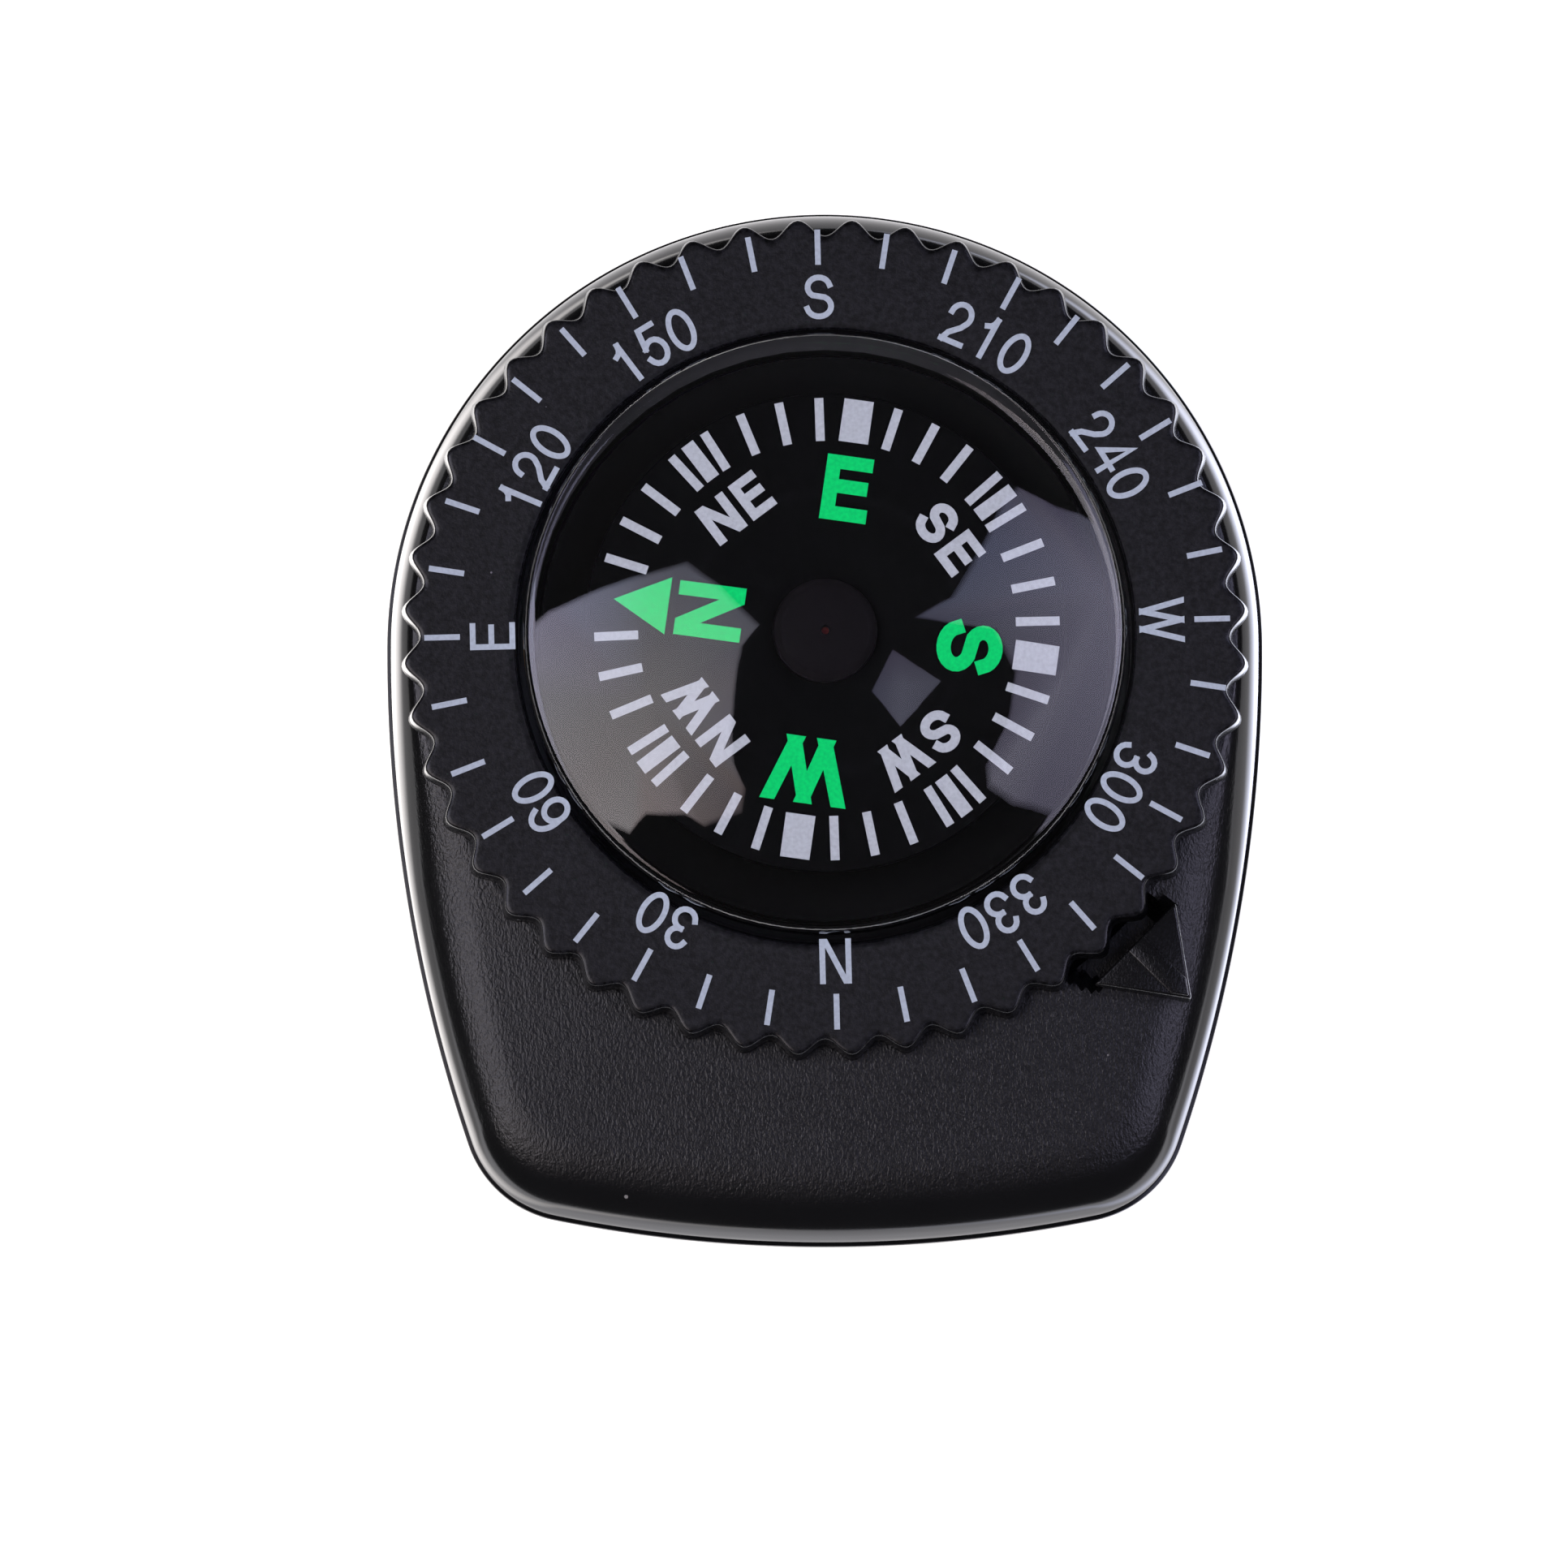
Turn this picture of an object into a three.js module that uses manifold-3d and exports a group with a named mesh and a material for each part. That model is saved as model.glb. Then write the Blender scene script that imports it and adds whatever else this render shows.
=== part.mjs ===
// A strap-clip compass: a liquid-filled compass capsule in a small moulded case, with a scalloped
// bezel that turns round the capsule, and a sprung clip under the case that grips a watch strap.
//
// Frame: millimetres, +Z up. The origin is on the compass axis, in the plane that the clip's
// underside rests on. +Y points to the case's round end and the mouth of the clip, -Y to the
// thumb end.

import * as THREE from "three";
import { mergeVertices } from "three/addons/utils/BufferGeometryUtils.js";
import Module from "manifold-3d";

const wasm = await Module();
wasm.setup();

// ---- Driving dimensions -------------------------------------------------------------------

// Outline of the case, seen from above: a half circle, two long side arcs, two corners, an end arc.
const CASE_RADIUS = 14;
const SIDE_ARC_RADIUS = 50;
const CORNER_RADIUS = 3.5;
const END_ARC_RADIUS = 44;
const TAIL_REACH = 19.3; // from the compass axis to the thumb end

// Heights above the resting plane.
const CASE_BOTTOM = 4.2;
const CASE_WIDEST = 6.65;
const BEZEL_SEAT = 8.55;
const DOME_SHOULDER = 11;
const DOME_TOP = 13;

// Case moulding.
const WALL = 1.3;
const BOTTOM_DRAFT = 0.55;
const SHOULDER_WIDTH = 1.4;
const SEAT_RADIUS = 13.3;
const TAIL_SLOPE = 0.118; // fall of the thumb rest per millimetre beyond the shoulder
const WELL_RADIUS = 9.9;
const WELL_WALL = 1;
const COLLAR_TOP = 9.25;
const CEILING = 7.1;

// Bezel.
const SCALLOPS = 48;
const SCALLOP_PEAK = 13.69;
const SCALLOP_DEPTH = 0.53;
const BEZEL_BORE = 9.98;
const BEZEL_BOTTOM = 8.7;
const BEZEL_TOP = 9.55;
const BEZEL_DRAFT = 0.12;

// Drag ring under the bezel.
const DRAG_RING_RADIUS = 12.1;
const DRAG_RING_SECTION = 0.3;
const DRAG_GROOVE_HALF = 0.4;
const DRAG_GROOVE_FLOOR = 8;

// Index pointer beside the bezel.
const INDEX_HEADING = -44.2;
const INDEX_INNER = 14;
const INDEX_APEX = 16.5;
const INDEX_HALF_WIDTH = 1.86;
const INDEX_RIB = 0.7;
const INDEX_TOP = 9.4;

// Base plate and its screws.
const PLATE_GAP = 0.15;
const PLATE_TOP = 5.3;
const SCREW_PLACES = [
  [-6.5, -14.2],
  [6.5, -14.2],
  [0, 11.3],
];
const SCREW_RADIUS = 0.5;
const SCREW_HEAD_RADIUS = 1;
const SCREW_HEAD_THICK = 0.6;
const SCREW_TIP = 6.9;
const BOSS_RADIUS = 1.1;

// Capsule.
const DOME_RADIUS = 9.7;
const DOME_WALL = 0.9;
const DOME_BOTTOM = 6.8;
const DOME_FILLET = 0.5;
const CAPSULE_BOTTOM = 5.45;
const FLANGE_TOP = 6.4;
const PLUG_TOP = 7.3;
const PIN_RADIUS = 0.25;

// Card, turned so that its north mark points where it rests.
const CARD_HEADING = 82;
const CARD_RADIUS = 7.5;
const CARD_TOP = 9.8;
const CARD_THICK = 0.3;
const HUB_RADIUS = 1.65;

// Clip.
const HINGE_Y = -7;
const HINGE_Z = 3;
const HINGE_PIN_RADIUS = 0.5;
const HINGE_PIN_LENGTH = 14;
const KNUCKLE_RADIUS = 1.1;
const LEVER_TOP = 1.5;
const LEVER_INSET = 0.55;
const LIP_START = 11.6;
const LIP_TOP = 4;
const SPRING_RADIUS = 0.85;
const WIRE_RADIUS = 0.2;
const SPRING_TURNS = 5.5;
const SPRING_PITCH = 0.6;
const LEG_LENGTH = 4.6;

const CLEAR = 0.05; // running clearance of a pin in its hole
const ROUND = 48; // facets of a turned piece
const SMALL_ROUND = 20; // facets of a small turned piece

// ---- Materials ----------------------------------------------------------------------------

const plastic = (color, roughness) => new THREE.MeshStandardMaterial({ color, roughness, metalness: 0 });
const metal = (color, roughness) => new THREE.MeshStandardMaterial({ color, roughness, metalness: 1 });
const caseAbs = plastic("#1b1a1b", 0.45);
const bezelAbs = plastic("#1f1f24", 0.6);
const clearAcrylic = plastic("#e9eef2", 0.05);
const capsuleBlack = plastic("#0d0d0f", 0.35);
const cardBlack = plastic("#101012", 0.7);
const rubber = plastic("#151515", 0.9);
const jewel = plastic("#8c2438", 0.1);
const brass = metal("#b08d4a", 0.35);
const steel = metal("#a9acb0", 0.3);
const magnetSteel = metal("#55575c", 0.5);

// ---- Helpers ------------------------------------------------------------------------------

const radians = THREE.MathUtils.degToRad;

// A closed three.js geometry as a solid that can be joined and cut.
function solidOf(geometry) {
  const bare = new THREE.BufferGeometry();
  bare.setAttribute("position", geometry.getAttribute("position"));
  if (geometry.index) bare.setIndex(geometry.index);
  const merged = mergeVertices(bare, 1e-4);
  const mesh = new wasm.Mesh({
    numProp: 3,
    vertProperties: merged.attributes.position.array,
    triVerts: new Uint32Array(merged.index.array),
  });
  return new wasm.Manifold(mesh);
}

function geometryOf(solid) {
  const mesh = solid.getMesh();
  const geometry = new THREE.BufferGeometry();
  geometry.setAttribute("position", new THREE.BufferAttribute(mesh.vertProperties, 3));
  geometry.setIndex(new THREE.BufferAttribute(mesh.triVerts, 1));
  geometry.computeVertexNormals();
  return geometry;
}

// A profile of [radius, height] points, going up its outside, turned about Z.
function turned(profile, facets = ROUND) {
  const points = profile.map(([r, z]) => new THREE.Vector2(r, z));
  return new THREE.LatheGeometry(points, facets).rotateX(Math.PI / 2);
}

// A closed [radius, height] section turned into a ring about Z.
const turnedRing = (section, facets = ROUND) => turned([...section, section[0]], facets);

// A round bar between two heights.
function rod(radius, bottom, top, facets = SMALL_ROUND) {
  return turned([[0, bottom], [radius, bottom], [radius, top], [0, top]], facets);
}

// A shape drawn in plan, standing between two heights.
function standing(shape, bottom, top) {
  const settings = { depth: top - bottom, bevelEnabled: false, curveSegments: 12 };
  return new THREE.ExtrudeGeometry(shape, settings).translate(0, 0, bottom);
}

function block([x0, y0, z0], [x1, y1, z1]) {
  const box = new THREE.BoxGeometry(x1 - x0, y1 - y0, z1 - z0);
  return box.translate((x0 + x1) / 2, (y0 + y1) / 2, (z0 + z1) / 2);
}

// A bar along X through the hinge.
function crossBar(radius, x0, x1) {
  return rod(radius, x0, x1).rotateY(Math.PI / 2).translate(0, HINGE_Y, HINGE_Z);
}

function indexed(points, index) {
  const geometry = new THREE.BufferGeometry();
  const positions = points.flatMap((point) => point.toArray());
  geometry.setAttribute("position", new THREE.Float32BufferAttribute(positions, 3));
  geometry.setIndex(index);
  geometry.computeVertexNormals();
  return geometry;
}

// The faces between two rings of points that start at the given places in the list.
function band(here, there, count) {
  return Array.from({ length: count }, (_, j) => {
    const next = (j + 1) % count;
    return [here + j, here + next, there + j, here + next, there + next, there + j];
  }).flat();
}

// Rings with the same number of points, each joined to the next and the last to the first.
function loft(rings) {
  const count = rings[0].length;
  const bands = rings.map((ring, i) => band(i * count, ((i + 1) % rings.length) * count, count));
  return indexed(rings.flat(), bands.flat());
}

// Rings joined from the bottom one to the top one, both of them closed by a flat face.
function stack(rings) {
  const count = rings[0].length;
  const points = rings.flat();
  const top = points.length - count;
  const middle = (ring) => ring.reduce((sum, p) => sum.add(p), new THREE.Vector3()).divideScalar(count);
  const index = rings.slice(1).flatMap((ring, i) => band(i * count, (i + 1) * count, count));
  for (let j = 0; j < count; j++) {
    const next = (j + 1) % count;
    index.push(points.length, next, j);
    index.push(points.length + 1, top + j, top + next);
  }
  return indexed([...points, middle(rings[0]), middle(rings.at(-1))], index);
}

const root = new THREE.Group();

function addPart(name, shape, material, parent = root) {
  const geometry = shape.isBufferGeometry ? shape : geometryOf(shape);
  const mesh = new THREE.Mesh(geometry, material);
  mesh.name = name;
  parent.add(mesh);
  return mesh;
}

// ---- Case outline -------------------------------------------------------------------------

// The corner's centre lies inside both the side arc and the end arc, a corner radius from each.
function cornerCentre() {
  const sideX = CASE_RADIUS - SIDE_ARC_RADIUS;
  const endY = END_ARC_RADIUS - TAIL_REACH;
  const toSide = SIDE_ARC_RADIUS - CORNER_RADIUS;
  const toEnd = END_ARC_RADIUS - CORNER_RADIUS;
  const apart = Math.hypot(sideX, endY);
  const along = (toSide ** 2 - toEnd ** 2 + apart ** 2) / (2 * apart);
  const across = Math.sqrt(toSide ** 2 - along ** 2);
  const [ux, uy] = [-sideX / apart, endY / apart];
  return new THREE.Vector2(sideX + along * ux + across * uy, along * uy - across * ux);
}

const corner = cornerCentre();
const sideTurn = Math.atan2(-corner.y, corner.x - (CASE_RADIUS - SIDE_ARC_RADIUS));
const endTurn = Math.atan2(corner.x, END_ARC_RADIUS - TAIL_REACH - corner.y);
const DOWN = 1.5 * Math.PI;

// The outline's arcs, anticlockwise from the case's right-hand side: centre, radius, angles, steps.
const arcs = [
  [0, 0, CASE_RADIUS, 0, Math.PI, 48],
  [SIDE_ARC_RADIUS - CASE_RADIUS, 0, SIDE_ARC_RADIUS, Math.PI, Math.PI + sideTurn, 10],
  [-corner.x, corner.y, CORNER_RADIUS, Math.PI + sideTurn, DOWN - endTurn, 8],
  [0, END_ARC_RADIUS - TAIL_REACH, END_ARC_RADIUS, DOWN - endTurn, DOWN + endTurn, 12],
  [corner.x, corner.y, CORNER_RADIUS, DOWN + endTurn, 2 * Math.PI - sideTurn, 8],
  [CASE_RADIUS - SIDE_ARC_RADIUS, 0, SIDE_ARC_RADIUS, 2 * Math.PI - sideTurn, 2 * Math.PI, 10],
];

// Stations round the outline: where each one is, and which way is out.
const stations = arcs.flatMap(([cx, cy, radius, from, to, steps]) =>
  Array.from({ length: steps }, (_, i) => {
    const angle = from + ((to - from) * i) / steps;
    const out = new THREE.Vector2(Math.cos(angle), Math.sin(angle));
    return { edge: new THREE.Vector2(cx, cy).addScaledVector(out, radius), out };
  }),
);

const inward = (station, inset) => station.edge.clone().addScaledVector(station.out, -inset);
const outlineShape = (inset) => new THREE.Shape(stations.map((station) => inward(station, inset)));

// ---- Case ---------------------------------------------------------------------------------

// A ring that follows the outline, and one that is a circle about the compass axis.
function outlineRing(inset, height) {
  return stations.map((station) => {
    const flat = inward(station, typeof inset === "function" ? inset(station) : inset);
    return new THREE.Vector3(flat.x, flat.y, typeof height === "function" ? height(station) : height);
  });
}

function circleRing(radius, height) {
  return stations.map(({ edge }) => {
    const flat = edge.clone().setLength(radius);
    return new THREE.Vector3(flat.x, flat.y, height);
  });
}

// How wide the rounded shoulder is at a station, and how high the thumb rest is where it ends.
function shoulderWidth({ edge }) {
  return Math.min(SHOULDER_WIDTH, 0.9 * (edge.length() - SEAT_RADIUS));
}

function shoulderTop(station) {
  const flatPart = station.edge.length() - SEAT_RADIUS - shoulderWidth(station);
  return BEZEL_SEAT - TAIL_SLOPE * flatPart;
}

function shoulderRing(degrees) {
  const turn = radians(degrees);
  return outlineRing(
    (station) => shoulderWidth(station) * (1 - Math.cos(turn)),
    (station) => CASE_WIDEST + (shoulderTop(station) - CASE_WIDEST) * Math.sin(turn),
  );
}

function caseMoulding() {
  const skin = loft([
    outlineRing(BOTTOM_DRAFT, CASE_BOTTOM),
    outlineRing(0.2, CASE_BOTTOM + 0.5),
    outlineRing(0, CASE_WIDEST),
    shoulderRing(30),
    shoulderRing(60),
    shoulderRing(90),
    circleRing(SEAT_RADIUS, BEZEL_SEAT),
    circleRing(DRAG_RING_RADIUS + DRAG_GROOVE_HALF, BEZEL_SEAT),
    circleRing(DRAG_RING_RADIUS + DRAG_GROOVE_HALF, DRAG_GROOVE_FLOOR),
    circleRing(DRAG_RING_RADIUS - DRAG_GROOVE_HALF, DRAG_GROOVE_FLOOR),
    circleRing(DRAG_RING_RADIUS - DRAG_GROOVE_HALF, BEZEL_SEAT),
    circleRing(WELL_RADIUS + 0.9, BEZEL_SEAT),
    circleRing(WELL_RADIUS + 0.9, BEZEL_SEAT + 0.3),
    circleRing(WELL_RADIUS + 1.1, BEZEL_SEAT + 0.45),
    circleRing(WELL_RADIUS + 0.8, COLLAR_TOP),
    circleRing(WELL_RADIUS, COLLAR_TOP),
    circleRing(WELL_RADIUS, PLATE_TOP + 0.1),
    circleRing(WELL_RADIUS + WELL_WALL, PLATE_TOP + 0.1),
    circleRing(WELL_RADIUS + WELL_WALL, CEILING),
    outlineRing(WALL, CEILING - 0.2),
    outlineRing(WALL, CASE_BOTTOM),
  ]);
  let moulding = solidOf(skin);
  moulding = moulding.add(solidOf(indexPointer()));
  for (const [x, y] of SCREW_PLACES) {
    const boss = solidOf(rod(BOSS_RADIUS, PLATE_TOP + 0.1, CEILING + 0.2).translate(x, y, 0));
    const hole = solidOf(rod(SCREW_RADIUS + CLEAR, CASE_BOTTOM, SCREW_TIP + 0.1).translate(x, y, 0));
    moulding = moulding.add(boss).subtract(hole);
  }
  return moulding;
}

// A raised triangle with its long side to the bezel and a rib along its middle.
function indexPointer() {
  const flat = new THREE.Shape([
    new THREE.Vector2(INDEX_INNER, -INDEX_HALF_WIDTH),
    new THREE.Vector2(INDEX_APEX, 0),
    new THREE.Vector2(INDEX_INNER, INDEX_HALF_WIDTH),
  ]);
  const rib = block(
    [INDEX_INNER + 0.02, -INDEX_RIB / 2, INDEX_TOP - 0.3],
    [INDEX_APEX - 0.6, INDEX_RIB / 2, INDEX_TOP + 0.12],
  );
  const pad = solidOf(standing(flat, CEILING + 0.4, INDEX_TOP)).add(solidOf(rib));
  return geometryOf(pad).rotateZ(radians(INDEX_HEADING));
}

// ---- Base plate, with the upper hinge knuckles --------------------------------------------

// A lug that hangs from the plate, or stands on the lever, and goes round the hinge pin.
function knuckle(x0, x1, z) {
  const web = block(
    [x0, HINGE_Y - KNUCKLE_RADIUS, Math.min(z, HINGE_Z)],
    [x1, HINGE_Y + KNUCKLE_RADIUS, Math.max(z, HINGE_Z)],
  );
  return solidOf(crossBar(KNUCKLE_RADIUS, x0, x1)).add(solidOf(web));
}

function basePlate() {
  let plate = solidOf(standing(outlineShape(WALL + PLATE_GAP), CASE_BOTTOM, PLATE_TOP));
  for (const side of [-1, 1]) {
    const [x0, x1] = [side * 5.2, side * 6.8].sort((a, b) => a - b);
    plate = plate.add(knuckle(x0, x1, CASE_BOTTOM + 0.2));
  }
  // Ridges across the upper jaw, cut as shallow grooves.
  for (let y = 4; y < 9; y += 1.2) {
    plate = plate.subtract(solidOf(block([-6, y, CASE_BOTTOM - 1], [6, y + 0.5, CASE_BOTTOM + 0.25])));
  }
  for (const [x, y] of SCREW_PLACES) {
    const head = rod(SCREW_HEAD_RADIUS + CLEAR, CASE_BOTTOM - 1, CASE_BOTTOM + SCREW_HEAD_THICK + 0.1);
    const shank = rod(SCREW_RADIUS + CLEAR, CASE_BOTTOM, PLATE_TOP + 1);
    plate = plate.subtract(solidOf(head.translate(x, y, 0))).subtract(solidOf(shank.translate(x, y, 0)));
  }
  return plate.subtract(solidOf(crossBar(HINGE_PIN_RADIUS + CLEAR, -9, 9)));
}

// A pan-head screw with a cross recess, pointing up into its boss.
function baseScrew(x, y) {
  const bottom = CASE_BOTTOM + 0.05;
  const under = bottom + SCREW_HEAD_THICK;
  let screw = solidOf(
    turned(
      [
        [0, bottom],
        [SCREW_HEAD_RADIUS - 0.2, bottom],
        [SCREW_HEAD_RADIUS, bottom + 0.2],
        [SCREW_HEAD_RADIUS, under],
        [SCREW_RADIUS, under],
        [SCREW_RADIUS, SCREW_TIP - 0.4],
        [0, SCREW_TIP],
      ],
      SMALL_ROUND,
    ),
  );
  for (const [wide, deep] of [[1.2, 0.3], [0.3, 1.2]]) {
    const slot = block([-wide / 2, -deep / 2, bottom - 1], [wide / 2, deep / 2, bottom + 0.3]);
    screw = screw.subtract(solidOf(slot));
  }
  return geometryOf(screw).translate(x, y, 0);
}

// ---- Capsule ------------------------------------------------------------------------------

const domeRise = DOME_TOP - DOME_SHOULDER;
const capChord = DOME_RADIUS - DOME_FILLET;
const capRadius = (capChord ** 2 + domeRise ** 2) / (2 * domeRise);

// Points of a spherical cap about Z, from a radius in to the axis.
function capProfile(sphere, top, chord, steps) {
  const edge = Math.asin(chord / sphere);
  return Array.from({ length: steps + 1 }, (_, i) => {
    const angle = edge * (1 - i / steps);
    return [sphere * Math.sin(angle), top - sphere * (1 - Math.cos(angle))];
  });
}

function domeShell() {
  const innerChord = DOME_RADIUS - DOME_WALL - 0.4;
  const inner = capProfile(capRadius - DOME_WALL, DOME_TOP - DOME_WALL, innerChord, 5).reverse();
  return turned([
    ...inner,
    [DOME_RADIUS - DOME_WALL, DOME_SHOULDER - DOME_WALL - 0.4],
    [DOME_RADIUS - DOME_WALL, DOME_BOTTOM],
    [DOME_RADIUS, DOME_BOTTOM],
    [DOME_RADIUS, DOME_SHOULDER - 0.35],
    ...capProfile(capRadius, DOME_TOP, capChord, 7),
  ]);
}

const FILL_HOLE = [-6.4, 0];
const DIAPHRAGM_RADIUS = 4.8;

function capsuleBase() {
  const cup = solidOf(
    turned([
      [0, CAPSULE_BOTTOM],
      [DOME_RADIUS - 0.1, CAPSULE_BOTTOM],
      [DOME_RADIUS - 0.1, FLANGE_TOP],
      [8.65, FLANGE_TOP],
      [8.65, PLUG_TOP],
      [1.2, PLUG_TOP],
      [0.9, PLUG_TOP + 0.7],
      [0, PLUG_TOP + 0.7],
    ]),
  );
  const pocket = rod(DIAPHRAGM_RADIUS + 0.1, CAPSULE_BOTTOM - 1, CAPSULE_BOTTOM + 0.7, ROUND);
  const liquidWay = rod(0.4, CAPSULE_BOTTOM, PLUG_TOP + 1).translate(3.4, 0, 0);
  const fillHole = rod(0.85, CAPSULE_BOTTOM - 1, PLUG_TOP + 1).translate(...FILL_HOLE, 0);
  const pinHole = rod(PIN_RADIUS + CLEAR, CAPSULE_BOTTOM + 0.8, PLUG_TOP + 1);
  return [pocket, liquidWay, fillHole, pinHole].reduce((made, cutter) => made.subtract(solidOf(cutter)), cup);
}

function capsuleGasket() {
  const [inner, outer] = [DOME_RADIUS - DOME_WALL + 0.05, DOME_RADIUS - 0.1];
  return turnedRing([
    [inner, FLANGE_TOP + 0.05],
    [outer, FLANGE_TOP + 0.05],
    [outer, DOME_BOTTOM - 0.05],
    [inner, DOME_BOTTOM - 0.05],
  ]);
}

// A thin dished disc that lets the liquid swell and shrink.
function diaphragm() {
  const bottom = CAPSULE_BOTTOM + 0.1;
  return turned(
    [
      [0, bottom + 0.25],
      [3.4, bottom + 0.25],
      [3.9, bottom],
      [DIAPHRAGM_RADIUS, bottom],
      [DIAPHRAGM_RADIUS, bottom + 0.5],
      [4.2, bottom + 0.5],
      [3.9, bottom + 0.3],
      [3.5, bottom + 0.45],
      [0, bottom + 0.45],
    ],
    32,
  );
}

function fillerPlug() {
  const bottom = CAPSULE_BOTTOM + 0.1;
  return turned(
    [
      [0, bottom],
      [0.8, bottom],
      [0.8, PLUG_TOP - 0.3],
      [0.5, PLUG_TOP],
      [0, PLUG_TOP],
    ],
    SMALL_ROUND,
  ).translate(...FILL_HOLE, 0);
}

function pivotPin() {
  return turned(
    [
      [0, CAPSULE_BOTTOM + 0.85],
      [PIN_RADIUS, CAPSULE_BOTTOM + 0.85],
      [PIN_RADIUS, CARD_TOP - 0.8],
      [0, CARD_TOP - 0.15],
    ],
    SMALL_ROUND,
  );
}

// ---- Card: disc, hub, jewel and magnet ----------------------------------------------------

const cardBottom = CARD_TOP - CARD_THICK;
const STEM_RADIUS = 1.1;

function cardDisc() {
  return turnedRing([
    [STEM_RADIUS + CLEAR, cardBottom],
    [CARD_RADIUS, cardBottom],
    [CARD_RADIUS, CARD_TOP],
    [STEM_RADIUS + CLEAR, CARD_TOP],
  ]);
}

function cardHub() {
  return turned(
    [
      [0, CARD_TOP + 0.15],
      [0.62, CARD_TOP + 0.15],
      [0.62, cardBottom - 0.75],
      [STEM_RADIUS, cardBottom - 0.75],
      [STEM_RADIUS, CARD_TOP + CLEAR],
      [HUB_RADIUS, CARD_TOP + CLEAR],
      [HUB_RADIUS, CARD_TOP + 0.35],
      [HUB_RADIUS - 0.3, CARD_TOP + 0.5],
      [0, CARD_TOP + 0.55],
    ],
    32,
  );
}

// A cup with a hollow cone that turns on the pivot's point.
function jewelCup() {
  return turned(
    [
      [0, CARD_TOP - 0.05],
      [0.35, CARD_TOP - 0.75],
      [0.56, CARD_TOP - 0.75],
      [0.56, CARD_TOP + 0.08],
      [0, CARD_TOP + 0.08],
    ],
    SMALL_ROUND,
  );
}

function cardMagnet() {
  const bar = solidOf(block([-1.5, -4.6, cardBottom - 0.75], [1.5, 4.6, cardBottom - 0.05]));
  return bar.subtract(solidOf(rod(STEM_RADIUS + CLEAR, cardBottom - 2, cardBottom + 1)));
}

// ---- Bezel --------------------------------------------------------------------------------

const BEZEL_STEPS = SCALLOPS * 4;

function bezelRing(radius, height, scallop = 0) {
  return Array.from({ length: BEZEL_STEPS }, (_, i) => {
    const angle = (2 * Math.PI * i) / BEZEL_STEPS;
    const r = radius - (scallop / 2) * (1 + Math.cos(SCALLOPS * angle));
    return new THREE.Vector3(r * Math.cos(angle), r * Math.sin(angle), height);
  });
}

function bezel() {
  return loft([
    bezelRing(SCALLOP_PEAK, BEZEL_BOTTOM, SCALLOP_DEPTH),
    bezelRing(SCALLOP_PEAK - BEZEL_DRAFT, BEZEL_TOP, SCALLOP_DEPTH),
    bezelRing(BEZEL_BORE, BEZEL_TOP),
    bezelRing(BEZEL_BORE, COLLAR_TOP + 0.05),
    bezelRing(WELL_RADIUS + 1.2, COLLAR_TOP + 0.05),
    bezelRing(WELL_RADIUS + 1.2, BEZEL_SEAT + 0.35),
    bezelRing(WELL_RADIUS + 1.02, BEZEL_SEAT + 0.3),
    bezelRing(WELL_RADIUS + 1.02, BEZEL_BOTTOM),
  ]);
}

function dragRing() {
  const height = DRAG_GROOVE_FLOOR + 0.03 + DRAG_RING_SECTION;
  const section = Array.from({ length: 8 }, (_, i) => {
    const angle = (i * Math.PI) / 4;
    const [out, up] = [Math.cos(angle), Math.sin(angle)].map((share) => share * DRAG_RING_SECTION);
    return [DRAG_RING_RADIUS + out, height + up];
  });
  return turnedRing(section);
}

// ---- Clip ---------------------------------------------------------------------------------

function clipLever() {
  let lever = solidOf(
    stack([
      outlineRing(LEVER_INSET + 0.6, 0),
      outlineRing(LEVER_INSET + 0.18, 0.18),
      outlineRing(LEVER_INSET, 0.6),
      outlineRing(LEVER_INSET, LEVER_TOP - 0.15),
      outlineRing(LEVER_INSET + 0.15, LEVER_TOP),
    ]),
  );
  const reach = CASE_RADIUS + 1;
  const lip = solidOf(
    stack([
      outlineRing(LEVER_INSET, LEVER_TOP - 0.2),
      outlineRing(LEVER_INSET, LIP_TOP - 0.25),
      outlineRing(LEVER_INSET + 0.2, LIP_TOP),
    ]),
  );
  lever = lever.add(lip.intersect(solidOf(block([-reach, LIP_START, 0], [reach, reach, LIP_TOP + 1]))));
  // Teeth along the lip, facing the upper jaw.
  for (let x = -5.2; x < 5.5; x += 1.3) {
    const notch = block([x - 0.3, LIP_START - 1, LIP_TOP - 0.35], [x + 0.3, reach, LIP_TOP + 1]);
    lever = lever.subtract(solidOf(notch));
  }
  for (const side of [-1, 1]) {
    const [x0, x1] = [side * 3.4, side * 4.8].sort((a, b) => a - b);
    lever = lever.add(knuckle(x0, x1, LEVER_TOP - 0.2));
  }
  // Thumb grooves under the tail.
  for (let y = -17; y < -11; y += 1.2) {
    lever = lever.subtract(solidOf(block([-7, y, -1], [7, y + 0.55, 0.3])));
  }
  return lever.subtract(solidOf(crossBar(HINGE_PIN_RADIUS + CLEAR, -9, 9)));
}

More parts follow.
